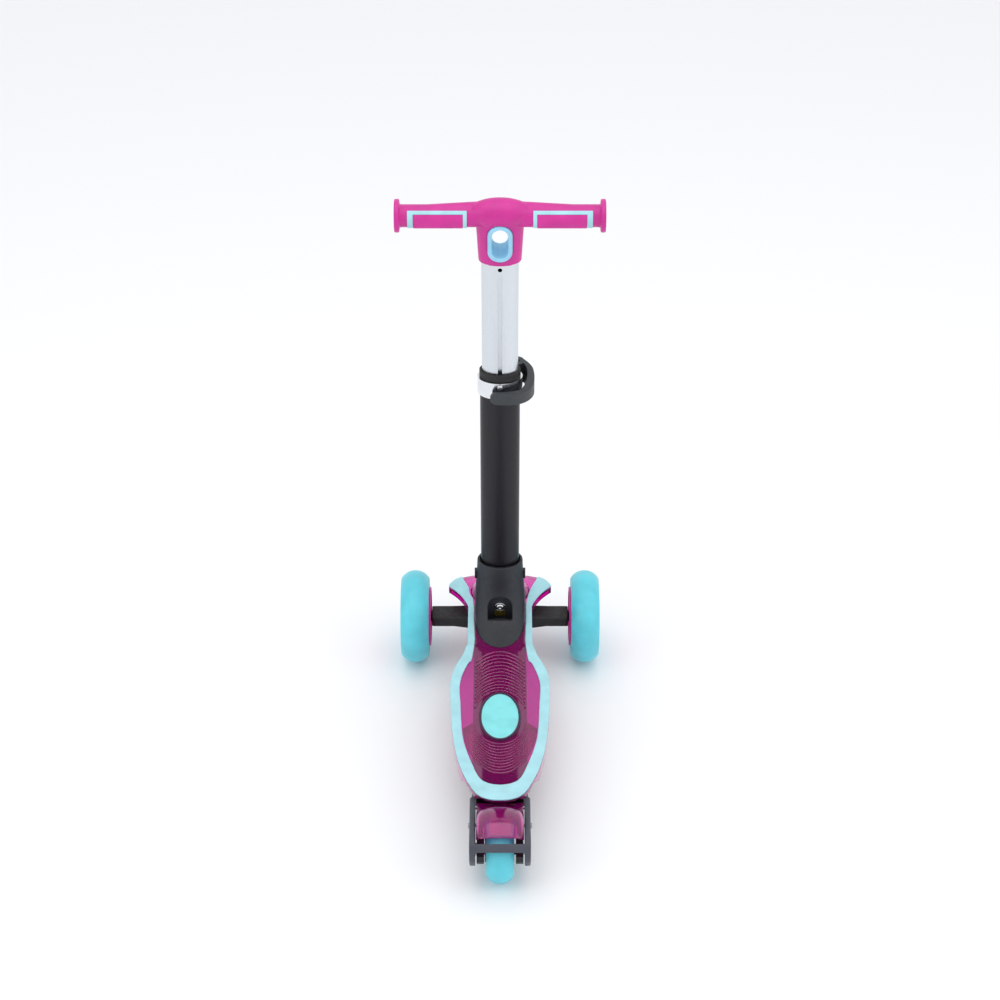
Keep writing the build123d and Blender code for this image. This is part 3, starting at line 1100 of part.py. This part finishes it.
# Torsion spring wound round the pin, between the fender's arms.
WIRE_R, COIL_R, COIL_HALF = 0.8, BRAKE_PIN_R + 1.3, 7.0
COIL_TURNS = 6
coil_start = Plane(origin=(-COIL_HALF, PIN_Y, PIN_Z), x_dir=(0, 1, 0), z_dir=(1, 0, 0))
coil_line = coil_start.location * Helix(2 * COIL_HALF / COIL_TURNS, 2 * COIL_HALF, COIL_R)
with BuildPart() as brake_spring:
    with BuildSketch(Plane(origin=coil_line @ 0, z_dir=coil_line % 0)):
        Circle(WIRE_R)
    sweep(path=coil_line, is_frenet=True)
keep(brake_spring.part, "brake_spring")

# ================================================================ screws
def pan_screw(plane, shank_r, length, head_r, head_t):
    """Pan-head screw: the plane is under its head."""
    return cap_bolt(plane, shank_r, length, head_r, head_t, head_r * 0.5)


with BuildPart() as yoke_screws:
    for x in (-YOKE_SCREW_X, YOKE_SCREW_X):
        screw_seat = Plane(origin=(x, YOKE_SCREW_Y, YOKE_TOP - YOKE_PLATE_T), x_dir=(1, 0, 0),
                           z_dir=(0, 0, -1))
        add(pan_screw(screw_seat, 2.05, 24, 4.2, 2.6))
keep(yoke_screws.part, "yoke_screws")

with BuildPart() as sleeve_screws:
    for x in (-SLEEVE_SCREW_X, SLEEVE_SCREW_X):
        for y in (-22, 22):
            screw_low = NECK_Z - 12 - SEAT if y > 0 else NECK_Z - 16
            screw_seat = Plane(origin=(x, flange_y + y, screw_low), x_dir=(1, 0, 0), z_dir=(0, 0, -1))
            add(pan_screw(screw_seat, 2.05, FLANGE_Z - screw_low, 3.8, 2.4))
keep(sleeve_screws.part, "sleeve_screws")

with BuildPart() as cover_screws:
    for end in (-1, 1):
        screw_seat = Plane(origin=(end * (COVER_OUT + SEAT), COVER_SCREW_Y, COVER_SCREW_Z), x_dir=(0, 1, 0),
                           z_dir=(end, 0, 0))
        add(pan_screw(screw_seat, 1.65, COVER_OUT - YOKE_IN - 1, 3.4, 2.0))
keep(cover_screws.part, "cover_screws")
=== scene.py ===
"""Looks of a child's three-wheeled kick scooter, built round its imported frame."""
import json
import logging
from dataclasses import dataclass, field
from enum import Enum
from math import cos, pi, radians, sin
from typing import Any, Callable

import bmesh
import bpy
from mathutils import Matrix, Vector


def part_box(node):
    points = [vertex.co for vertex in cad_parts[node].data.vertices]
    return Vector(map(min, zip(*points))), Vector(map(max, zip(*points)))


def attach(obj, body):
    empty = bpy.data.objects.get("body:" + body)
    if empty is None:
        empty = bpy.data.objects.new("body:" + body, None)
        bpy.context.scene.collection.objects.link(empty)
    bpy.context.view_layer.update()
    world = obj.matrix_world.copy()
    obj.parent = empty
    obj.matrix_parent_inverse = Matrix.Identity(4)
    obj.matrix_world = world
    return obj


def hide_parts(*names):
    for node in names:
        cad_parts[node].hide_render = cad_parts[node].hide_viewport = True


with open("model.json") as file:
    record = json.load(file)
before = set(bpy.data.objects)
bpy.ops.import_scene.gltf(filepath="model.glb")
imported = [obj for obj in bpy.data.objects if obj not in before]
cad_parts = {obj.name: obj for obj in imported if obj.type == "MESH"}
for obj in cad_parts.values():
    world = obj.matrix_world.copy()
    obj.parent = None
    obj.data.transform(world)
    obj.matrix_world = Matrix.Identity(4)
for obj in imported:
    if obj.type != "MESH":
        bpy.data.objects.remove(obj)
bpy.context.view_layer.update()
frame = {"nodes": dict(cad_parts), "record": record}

log = logging.getLogger("kick_scooter")

MM = 0.001
RAKE = radians(8.0)
MERGE_DISTANCE = 1e-6
EASE = 0.5                 # share of the way that one round of easing moves a point
NODE_BODY = {node: body for body, nodes in frame["record"]["behaviour"]["bodies"].items() for node in nodes}
NODE_SLOT = {part["node"]: part["material_slot"] for part in frame["record"]["subparts"]}


def paint(red: int, green: int, blue: int) -> tuple[float, float, float, float]:
    """Turn an 8-bit display colour into the linear colour that a shader takes.

    Args:
        red: Red, 0 to 255.
        green: Green, 0 to 255.
        blue: Blue, 0 to 255.

    Returns:
        Linear red, green, blue and an alpha of one.
    """
    shares = [channel / 255 for channel in (red, green, blue)]
    linear = [s / 12.92 if s <= 0.04045 else ((s + 0.055) / 1.055) ** 2.4 for s in shares]
    return (linear[0], linear[1], linear[2], 1.0)


# ------------------------------------------------------------------ shader maths
class Value:
    """A shader socket that takes part in Python arithmetic."""

    def __init__(self, board: "Board", socket: bpy.types.NodeSocket) -> None:
        """Wrap one output socket of a board."""
        self.board = board
        self.socket = socket

    def _maths(self, operation: str, first: Any, second: Any) -> "Value":
        """Add one Math node to the board and return its result."""
        return self.board.node("ShaderNodeMath", {"operation": operation}, {0: first, 1: second})

    def __add__(self, other: Any) -> "Value":
        """Sum with a value on the right."""
        return self._maths("ADD", self, other)

    def __radd__(self, other: Any) -> "Value":
        """Sum with a number on the left."""
        return self._maths("ADD", other, self)

    def __sub__(self, other: Any) -> "Value":
        """Difference with a value on the right."""
        return self._maths("SUBTRACT", self, other)

    def __rsub__(self, other: Any) -> "Value":
        """Difference from a number on the left."""
        return self._maths("SUBTRACT", other, self)

    def __mul__(self, other: Any) -> "Value":
        """Product with a value on the right."""
        return self._maths("MULTIPLY", self, other)

    def __rmul__(self, other: Any) -> "Value":
        """Product with a number on the left."""
        return self._maths("MULTIPLY", other, self)


class Board:
    """Node tree of one material, with its shader."""

    def __init__(self, name: str) -> None:
        """Start an empty material with one shader."""
        self.material = bpy.data.materials.new(name)
        self.material.use_nodes = True
        self.tree = self.material.node_tree
        self.shader = self.tree.nodes["Principled BSDF"]

    def node(self, kind: str, settings: dict[str, Any], inputs: dict[Any, Any], output: Any = 0) -> Value:
        """Add a node, set its options first and then feed its sockets.

        Args:
            kind: The node's type.
            settings: Attribute names and values.
            inputs: Socket names or numbers, each with a number, a colour or a Value.
            output: Name or number of the socket to return.

        Returns:
            The chosen output.
        """
        made = self.tree.nodes.new(kind)
        for key, setting in settings.items():
            setattr(made, key, setting)
        for key, fed in inputs.items():
            self.feed(made.inputs[key], fed)
        return Value(self, made.outputs[output])

    def feed(self, socket: bpy.types.NodeSocket, fed: Any) -> None:
        """Link a Value to a socket, or set the socket's own number or colour."""
        if isinstance(fed, Value):
            self.tree.links.new(fed.socket, socket)
        else:
            socket.default_value = fed

    def set(self, **inputs: Any) -> None:
        """Feed the shader's sockets, named with underscores for spaces."""
        for key, fed in inputs.items():
            self.feed(self.shader.inputs[key.replace("_", " ")], fed)

    def place(self, stretch: tuple[float, float, float] = (1, 1, 1), turn: float = 0.0) -> Value:
        """Object coordinates, with a pattern stretched along axes that are turned about X."""
        coords = self.node("ShaderNodeTexCoord", {}, {}, "Object")
        return self.node("ShaderNodeMapping", {"vector_type": "TEXTURE"},
                         {"Vector": coords, "Scale": stretch, "Rotation": (turn, 0, 0)})

    def noise(self, place: Value, scale: float, detail: float = 2.0) -> Value:
        """Smooth noise from nought to one."""
        return self.node("ShaderNodeTexNoise", {}, {"Vector": place, "Scale": scale, "Detail": detail}, "Fac")

    def spread(self, value: Value, low: float, high: float) -> Value:
        """Map nought to one onto a new range, held at both ends."""
        return self.node("ShaderNodeMapRange", {}, {"Value": value, "From Min": 0.3, "From Max": 0.7,
                                                    "To Min": low, "To Max": high})

    def blend(self, mask: Value, first: tuple, second: tuple) -> Value:
        """Blend two colours by a mask."""
        return self.node("ShaderNodeMix", {"data_type": "RGBA"}, {0: mask, 6: first, 7: second}, 2)

    def bump(self, height: Value, depth: float, strength: float = 1.0) -> None:
        """Raise the surface by a height, to a depth in metres."""
        self.set(Normal=self.node("ShaderNodeBump", {}, {"Height": height, "Distance": depth,
                                                         "Strength": strength}))


@dataclass(frozen=True)
class Finish:
    """Moulded plastic, and the base of the other finishes."""

    name: str
    colour: tuple
    roughness: float
    grain: float = 1800.0          # grains per metre
    depth: float = 0.00006
    mottle: float = 0.08           # share by which the colour varies

    def shades(self, board: Board, place: Value) -> Value:
        """The colour, a little lighter and darker from place to place."""
        low = tuple(c * (1 - self.mottle) for c in self.colour[:3]) + (1.0,)
        high = tuple(min(1.0, c * (1 + self.mottle)) for c in self.colour[:3]) + (1.0,)
        return board.blend(board.spread(board.noise(place, 45.0), 0.0, 1.0), low, high)

    def dress(self, board: Board) -> None:
        """Set the shader for a moulded, finely grained surface."""
        place = board.place()
        grain = board.noise(place, self.grain, 3.0)
        board.set(Base_Color=self.shades(board, place),
                  Roughness=board.spread(board.noise(place, 160.0), self.roughness * 0.85,
                                         self.roughness * 1.15))
        board.bump(grain, self.depth)

    def material(self) -> bpy.types.Material:
        """Make the material once."""
        board = Board(self.name)
        self.dress(board)
        return board.material


@dataclass(frozen=True)
class ClearPlastic(Finish):
    """Tinted see-through plastic with faint flow lines."""

    clarity: float = 0.8

    def dress(self, board: Board) -> None:
        """Set the shader for a clear moulding."""
        place = board.place((1.0, 4.0, 1.0))
        flow = board.noise(place, 40.0)
        board.set(Base_Color=self.shades(board, place),
                  Roughness=board.spread(flow, self.roughness, self.roughness * 2.2))
        board.set(Transmission_Weight=self.clarity, IOR=1.49, Coat_Weight=0.6, Coat_Roughness=0.03)
        board.bump(flow, self.depth)


@dataclass(frozen=True)
class Urethane(Finish):
    """Cast wheel material that lets a little light in."""

    glow: float = 0.25

    def dress(self, board: Board) -> None:
        """Set the shader for a soft translucent casting."""
        Finish.dress(self, board)
        board.set(Subsurface_Weight=self.glow, Subsurface_Radius=(0.3, 1.0, 1.0), Subsurface_Scale=0.006)


class Lay(Enum):
    """Direction in which a metal was worked."""

    ALONG_BAR = (1.0, 1.0, 60.0)
    ROUND = (1.0, 1.0, 1.0)


@dataclass(frozen=True)
class Metal(Finish):
    """Bare or anodised metal with fine draw lines."""

    lay: Lay = Lay.ROUND
    metallic: float = 1.0

    def dress(self, board: Board) -> None:
        """Set the shader for a worked metal surface."""
        place = board.place(self.lay.value, RAKE)
        lines = board.noise(place, self.grain, 2.0)
        board.set(Base_Color=self.shades(board, place), Metallic=self.metallic,
                  Roughness=board.spread(lines, self.roughness * 0.8, self.roughness * 1.25))
        board.bump(lines, self.depth)


FINISHES: dict[str, Finish] = {
    "magenta_clear": ClearPlastic("magenta_clear", paint(222, 22, 172), 0.05, depth=0.00008, clarity=0.86),
    "magenta_handle": Finish("magenta_handle", paint(198, 34, 142), 0.38, depth=0.00004),
    "magenta_hub": Finish("magenta_hub", paint(206, 42, 150), 0.34),
    "magenta_soft": Finish("magenta_soft", paint(206, 42, 148), 0.62, 1400.0, 0.00012),
    "sky_soft": Finish("sky_soft", paint(164, 216, 226), 0.55, 1500.0, 0.00010),
    "turquoise_disc": Finish("turquoise_disc", paint(132, 222, 226), 0.4, depth=0.00004),
    "plum_bezel": Finish("plum_bezel", paint(72, 40, 70), 0.3),
    "cyan_liner": Finish("cyan_liner", paint(150, 206, 234), 0.42),
    "cyan_tyre": Urethane("cyan_tyre", paint(92, 202, 218), 0.36, 900.0, 0.00005),
    "black_nylon": Finish("black_nylon", paint(13, 13, 16), 0.52, depth=0.00010),
    "boot_grey": Finish("boot_grey", paint(34, 36, 43), 0.5, depth=0.00012),
    "cover_grey": Finish("cover_grey", paint(64, 67, 79), 0.46, depth=0.00010),
    "lever_grey": Finish("lever_grey", paint(50, 54, 58), 0.45, depth=0.00008),
    "black_tube": Metal("black_tube", paint(34, 34, 38), 0.34, 1500.0, 0.00001, 0.03,
                        lay=Lay.ALONG_BAR, metallic=0.5),
    "silver_tube": Metal("silver_tube", paint(212, 217, 222), 0.30, 1500.0, 0.00001, 0.02,
                         lay=Lay.ALONG_BAR),
    "collar_chrome": Metal("collar_chrome", paint(224, 227, 230), 0.16, depth=0.00002),
    "zinc_yellow": Metal("zinc_yellow", paint(214, 190, 92), 0.3, depth=0.00003),
    "bolt_steel": Metal("bolt_steel", paint(168, 171, 176), 0.32, depth=0.00004),
    "chrome_small": Metal("chrome_small", paint(226, 228, 230), 0.12, depth=0.00002),
    "bearing_steel": Metal("bearing_steel", paint(170, 173, 178), 0.28, depth=0.00003),
    "elastomer": Urethane("elastomer", paint(206, 120, 50), 0.5, depth=0.00008),
}


class Workshop:
    """Makes and registers pieces, and keeps one material per slot."""

    def __init__(self) -> None:
        """Start with no materials made."""
        self.made: dict[str, bpy.types.Material] = {}

    def material(self, slot: str) -> bpy.types.Material:
        """Return the slot's material, made on first use."""
        if slot not in self.made:
            self.made[slot] = FINISHES[slot].material()
        return self.made[slot]

    def keep_node(self, node: str) -> None:
        """Dress a node whose own shape is shown."""
        for held in frame["nodes"][node].material_slots:
            held.material = self.material(NODE_SLOT[node])

    def register(self, piece: bpy.types.Object, like: str, stands_for: bool) -> bpy.types.Object:
        """Give a piece the body, the slot and the material of a node.

        Args:
            piece: The finished mesh object.
            like: Node that it belongs with.
            stands_for: Whether the piece hides that node.

        Returns:
            The same piece.
        """
        piece.data.materials.clear()
        piece.data.materials.append(self.material(NODE_SLOT[like]))
        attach(piece, NODE_BODY[like])
        if stands_for:
            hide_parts(like)
        log.info("%s: %d faces", piece.name, len(piece.data.polygons))
        return piece

    def settled(self, piece: bpy.types.Object) -> None:
        """Apply all modifiers of a piece to its mesh, and smooth its shading."""
        graph = bpy.context.evaluated_depsgraph_get()
        finished = bpy.data.meshes.new_from_object(piece.evaluated_get(graph))
        piece.modifiers.clear()
        piece.data = finished
        for face in piece.data.polygons:
            face.use_smooth = True

    def softened(self, node: str, voxel: float, rounds: int,
                 shaping: Callable[[bpy.types.Mesh], None] | None = None) -> bpy.types.Object:
        """Replace a node by its own shape with moulded, rounded edges.

        Args:
            node: Node whose shape is taken.
            voxel: Size of the new faces, in metres.
            rounds: How many times the edges are eased.
            shaping: What is done to the finished mesh, if anything.

        Returns:
            The registered piece.
        """
        mesh = frame["nodes"][node].data.copy()
        shape = bmesh.new()
        shape.from_mesh(mesh)
        bmesh.ops.remove_doubles(shape, verts=shape.verts, dist=MERGE_DISTANCE)
        shape.to_mesh(mesh)
        shape.free()
        piece = bpy.data.objects.new(f"{node}_moulded", mesh)
        bpy.context.collection.objects.link(piece)
        remesh = piece.modifiers.new("mould", "REMESH")
        remesh.mode = "VOXEL"
        remesh.voxel_size = voxel
        ease = piece.modifiers.new("ease", "SMOOTH")
        ease.factor = EASE
        ease.iterations = rounds
        self.settled(piece)
        if shaping is not None:
            shaping(piece.data)
        return self.register(piece, node, True)


@dataclass
class HandleCrown:
    """Long, shallow taper from the middle of the handle out over the inner grips."""

    grip_radius: float = 13.0 * MM
    crown_radius: float = 17.5 * MM
    reach: float = 82.0 * MM           # taper ends this far from the middle
    lean: float = radians(25.0)        # taper is highest this far forward of the top
    sharpness: int = 4                 # how fast it fades round the bar
    ends_from: float = 100.0 * MM      # past here the handle is round
    skin: float = 0.9                  # share of the grip's radius past which a point is on its surface

    def shape(self, mesh: bpy.types.Mesh) -> None:
        """Raise the upper front of the bar on both sides of the crown.

        Args:
            mesh: The handle's finished mesh, changed in place.
        """
        ends = [v.co for v in mesh.vertices if abs(v.co.x) > self.ends_from]
        axis_y = (min(p.y for p in ends) + max(p.y for p in ends)) / 2
        axis_z = (min(p.z for p in ends) + max(p.z for p in ends)) / 2
        for vertex in mesh.vertices:
            share = 1 - abs(vertex.co.x) / self.reach
            out = Vector((vertex.co.y - axis_y, vertex.co.z - axis_z))
            if share <= 0 or not self.grip_radius * self.skin < out.length < self.crown_radius:
                continue
            facing = (out.x * sin(self.lean) + out.y * cos(self.lean)) / out.length
            if facing <= 0:
                continue
            rise = (self.crown_radius - self.grip_radius) * share * facing ** self.sharpness
            wanted = max(out.length, self.grip_radius + rise)
            out *= wanted / out.length
            vertex.co.y, vertex.co.z = axis_y + out.x, axis_z + out.y


@dataclass
class SoftNodes:
    """Nodes whose edges are rounded in the mould, with face size in millimetres and easing."""

    sizes: dict[str, tuple[float, int]] = field(default_factory=lambda: {
        "handle": (0.9, 7), "slot_liner": (0.6, 3), "grip_pads": (0.45, 3), "boot": (0.9, 5),
        "deck_pad": (0.8, 3), "rear_cover": (0.9, 4), "clamp_lever": (0.5, 3), "axle_beam": (0.9, 4),
        "brake_fender": (0.8, 3), "medallion": (0.6, 3),
    })

    def build(self, shop: Workshop) -> None:
        """Build every moulded piece."""
        shaping = {"handle": HandleCrown().shape}
        for node, (voxel, rounds) in self.sizes.items():
            shop.softened(node, voxel * MM, rounds, shaping.get(node))


class End(Enum):
    """Side of the medallion that a group of ribs lies on."""

    FRONT = 1
    REAR = -1


@dataclass
class DeckRibs:
    """Moulded ribs that arch round the medallion, made by geometry nodes."""

    count: dict[End, int] = field(default_factory=lambda: {End.FRONT: 13, End.REAR: 11})
    pitch: float = 5.8 * MM
    first: float = 52.0 * MM           # first rib's distance from the medallion's middle
    half_width: float = 33.0 * MM      # first rib's half-width
    widening: dict[End, float] = field(default_factory=lambda: {End.FRONT: 2.0 * MM, End.REAR: 1.2 * MM})
    radius: float = 1.3 * MM
    half_angle: float = radians(78.0)
    front_half: float = 31.0 * MM      # front ribs reach this far to each side
    rear_half: float = 1.0             # rear ribs are held back by the pad alone
    arc_points: int = 72
    round_points: int = 10
    drop_from: float = 0.3             # height from which the ribs are dropped onto the deck
    drop_length: float = 0.5

    def tree(self) -> bpy.types.NodeTree:
        """Build the node tree for one group of ribs.

        Returns:
            The tree, with its sizes as named inputs.
        """
        group = bpy.data.node_groups.new("deck_ribs", "GeometryNodeTree")
        face = group.interface
        face.new_socket("Geometry", in_out="OUTPUT", socket_type="NodeSocketGeometry")
        for name, kind in (("Count", "Int"), ("Pitch", "Float"), ("First", "Float"), ("Radius", "Float"),
                           ("Half Angle", "Float"), ("Facing", "Float"), ("Middle", "Vector"),
                           ("Half Width", "Float"), ("Widening", "Float"), ("Reach", "Float"),
                           ("Deck", "Object"), ("Pad", "Object"), ("Finish", "Material")):
            face.new_socket(name, in_out="INPUT", socket_type=f"NodeSocket{kind}")

        def add(kind: str, settings: dict[str, Any], inputs: dict[Any, Any]) -> bpy.types.Node:
            """Add a node, set its options first and then feed its sockets."""
            made = group.nodes.new(kind)
            for key, setting in settings.items():
                setattr(made, key, setting)
            for key, fed in inputs.items():
                if isinstance(fed, bpy.types.NodeSocket):
                    group.links.new(fed, made.inputs[key])
                else:
                    made.inputs[key].default_value = fed
            return made

        def maths(operation: str, first: Any, second: Any = 0.0) -> bpy.types.NodeSocket:
            """Add a Math node and return its result."""
            return add("ShaderNodeMath", {"operation": operation}, {0: first, 1: second}).outputs[0]

        given = group.nodes.new("NodeGroupInput").outputs
        points = add("GeometryNodePoints", {},
                     {"Count": given["Count"], "Position": given["Middle"]}).outputs[0]
        index = add("GeometryNodeInputIndex", {}, {}).outputs[0]
        reach = maths("ADD", given["First"], maths("MULTIPLY", given["Pitch"], index))
        width = maths("ADD", given["Half Width"], maths("MULTIPLY", given["Widening"], index))
        depth = maths("MULTIPLY", reach, given["Facing"])
        size = add("ShaderNodeCombineXYZ", {}, {0: width, 1: depth, 2: 1.0})
        start = maths("SUBTRACT", pi / 2, given["Half Angle"])
        arc = add("GeometryNodeCurveArc", {"mode": "RADIUS"}, {
            "Resolution": self.arc_points, "Radius": 1.0, "Start Angle": start,
            "Sweep Angle": maths("MULTIPLY", given["Half Angle"], 2.0)}).outputs[0]
        placed = add("GeometryNodeInstanceOnPoints", {}, {"Points": points, "Instance": arc,
                                                          "Scale": size.outputs[0]}).outputs[0]
        arcs = add("GeometryNodeRealizeInstances", {}, {"Geometry": placed}).outputs[0]
        position = add("GeometryNodeInputPosition", {}, {}).outputs[0]
        across = add("ShaderNodeSeparateXYZ", {}, {0: position})
        above = add("ShaderNodeCombineXYZ", {},
                    {0: across.outputs[0], 1: across.outputs[1], 2: self.drop_from}).outputs[0]

        def drop(target: str) -> bpy.types.Node:
            """Cast a ray down onto one of the given objects."""
            shape = add("GeometryNodeObjectInfo", {"transform_space": "RELATIVE"}, {"Object": given[target]})
            return add("GeometryNodeRaycast", {}, {
                "Target Geometry": shape.outputs["Geometry"], "Source Position": above,
                "Ray Direction": (0.0, 0.0, -1.0), "Ray Length": self.drop_length})

        on_deck, on_pad = drop("Deck"), drop("Pad")
        wide = maths("GREATER_THAN", maths("ABSOLUTE", across.outputs[0]), given["Reach"])
        off = maths("MAXIMUM", maths("MAXIMUM", on_pad.outputs["Is Hit"], wide),
                    maths("SUBTRACT", 1.0, on_deck.outputs["Is Hit"]))
        kept = add("GeometryNodeDeleteGeometry", {"domain": "POINT"}, {"Geometry": arcs, "Selection": off})
        laid = add("GeometryNodeSetPosition", {}, {"Geometry": kept.outputs[0],
                                                   "Position": on_deck.outputs["Hit Position"]})
        profile = add("GeometryNodeCurvePrimitiveCircle", {"mode": "RADIUS"},
                      {"Resolution": self.round_points, "Radius": given["Radius"]}).outputs[0]
        solid = add("GeometryNodeCurveToMesh", {}, {"Curve": laid.outputs[0], "Profile Curve": profile,
                                                    "Fill Caps": True}).outputs[0]
        real = add("GeometryNodeRealizeInstances", {}, {"Geometry": solid}).outputs[0]
        dressed = add("GeometryNodeSetMaterial", {},
                      {"Geometry": real, "Material": given["Finish"]}).outputs[0]
        group.links.new(dressed, group.nodes.new("NodeGroupOutput").inputs[0])
        return group

    def build(self, shop: Workshop) -> None:
        """Lay both groups of ribs on the deck."""
        group = self.tree()
        low, high = (Vector(corner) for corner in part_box("medallion"))
        middle = (low + high) / 2
        for end in End:
            piece = bpy.data.objects.new(f"deck_ribs_{end.name.lower()}", bpy.data.meshes.new("ribs"))
            bpy.context.collection.objects.link(piece)
            modifier = piece.modifiers.new("ribs", "NODES")
            modifier.node_group = group
            values = {"Count": self.count[end], "Pitch": self.pitch, "First": self.first,
                      "Radius": self.radius,
                      "Half Angle": self.half_angle, "Facing": float(end.value),
                      "Middle": (middle.x, middle.y, 0.0),
                      "Half Width": self.half_width, "Widening": self.widening[end],
                      "Reach": self.front_half if end is End.FRONT else self.rear_half,
                      "Deck": frame["nodes"]["deck_shell"], "Pad": frame["nodes"]["deck_pad"],
                      "Finish": shop.material("magenta_clear")}
            for item in group.interface.items_tree:
                if item.item_type == "SOCKET" and item.in_out == "INPUT":
                    modifier[item.identifier] = values[item.name]
            piece.update_tag()
            shop.settled(piece)
            shop.register(piece, "deck_shell", False)


@dataclass(frozen=True)
class Lamp:
    """One soft box, with its width in metres and its power in watts."""

    name: str
    spot: tuple[float, float, float]
    width: float
    power: float


@dataclass
class Studio:
    """Pale floor, soft light and the camera."""

    lamps: tuple[Lamp, ...] = (Lamp("overhead", (0.0, -0.2, 2.6), 2.4, 16.0),
                               Lamp("left_box", (-2.2, -1.4, 1.8), 1.6, 8.0),
                               Lamp("right_box", (2.2, -1.0, 1.8), 1.6, 8.0))
    lit_point: Vector = field(default_factory=lambda: Vector((0.0, 0.0, 0.2)))
    sky_strength: float = 0.90
    distance: Vector = field(default_factory=lambda: Vector((0.0, -2.428, 1.951)))
    pitch: float = radians(33.0)
    lens: float = 89.4
    floor_half: float = 12.0

    def build(self) -> None:
        """Build the floor, the lights and the camera."""
        mesh = bpy.data.meshes.new("floor")
        half = self.floor_half
        mesh.from_pydata([(-half, -half, 0), (half, -half, 0), (half, half, 0), (-half, half, 0)], [],
                         [(0, 1, 2, 3)])
        floor = bpy.data.objects.new("floor", mesh)
        bpy.context.collection.objects.link(floor)
        board = Board("studio_floor")
        board.set(Base_Color=paint(246, 247, 250), Roughness=0.55)
        mesh.materials.append(board.material)
        world = bpy.data.worlds.new("studio")
        world.use_nodes = True
        sky = world.node_tree.nodes["Background"]
        sky.inputs["Color"].default_value = (1.0, 1.0, 1.0, 1.0)
        sky.inputs["Strength"].default_value = self.sky_strength
        bpy.context.scene.world = world
        for lamp in self.lamps:
            light = bpy.data.lights.new(lamp.name, "AREA")
            light.size = lamp.width
            light.energy = lamp.power
            holder = bpy.data.objects.new(lamp.name, light)
            holder.location = lamp.spot
            holder.rotation_euler = (self.lit_point - holder.location).to_track_quat("-Z", "Y").to_euler()
            bpy.context.collection.objects.link(holder)
        lens = bpy.data.cameras.new("camera")
        lens.lens = self.lens
        lens.sensor_width = 36.0
        camera = bpy.data.objects.new("camera", lens)
        camera.location = self.distance
        camera.rotation_euler = (pi / 2 - self.pitch, 0.0, 0.0)
        bpy.context.collection.objects.link(camera)
        bpy.context.scene.camera = camera
        bpy.context.scene.view_settings.view_transform = "Standard"


def main() -> None:
    """Build the whole scene in order."""
    logging.basicConfig(level=logging.INFO, format="%(message)s")
    Studio().build()
    shop = Workshop()
    for node in frame["nodes"]:
        shop.keep_node(node)
    SoftNodes().build(shop)
    DeckRibs().build(shop)


if __name__ == "__main__":
    main()
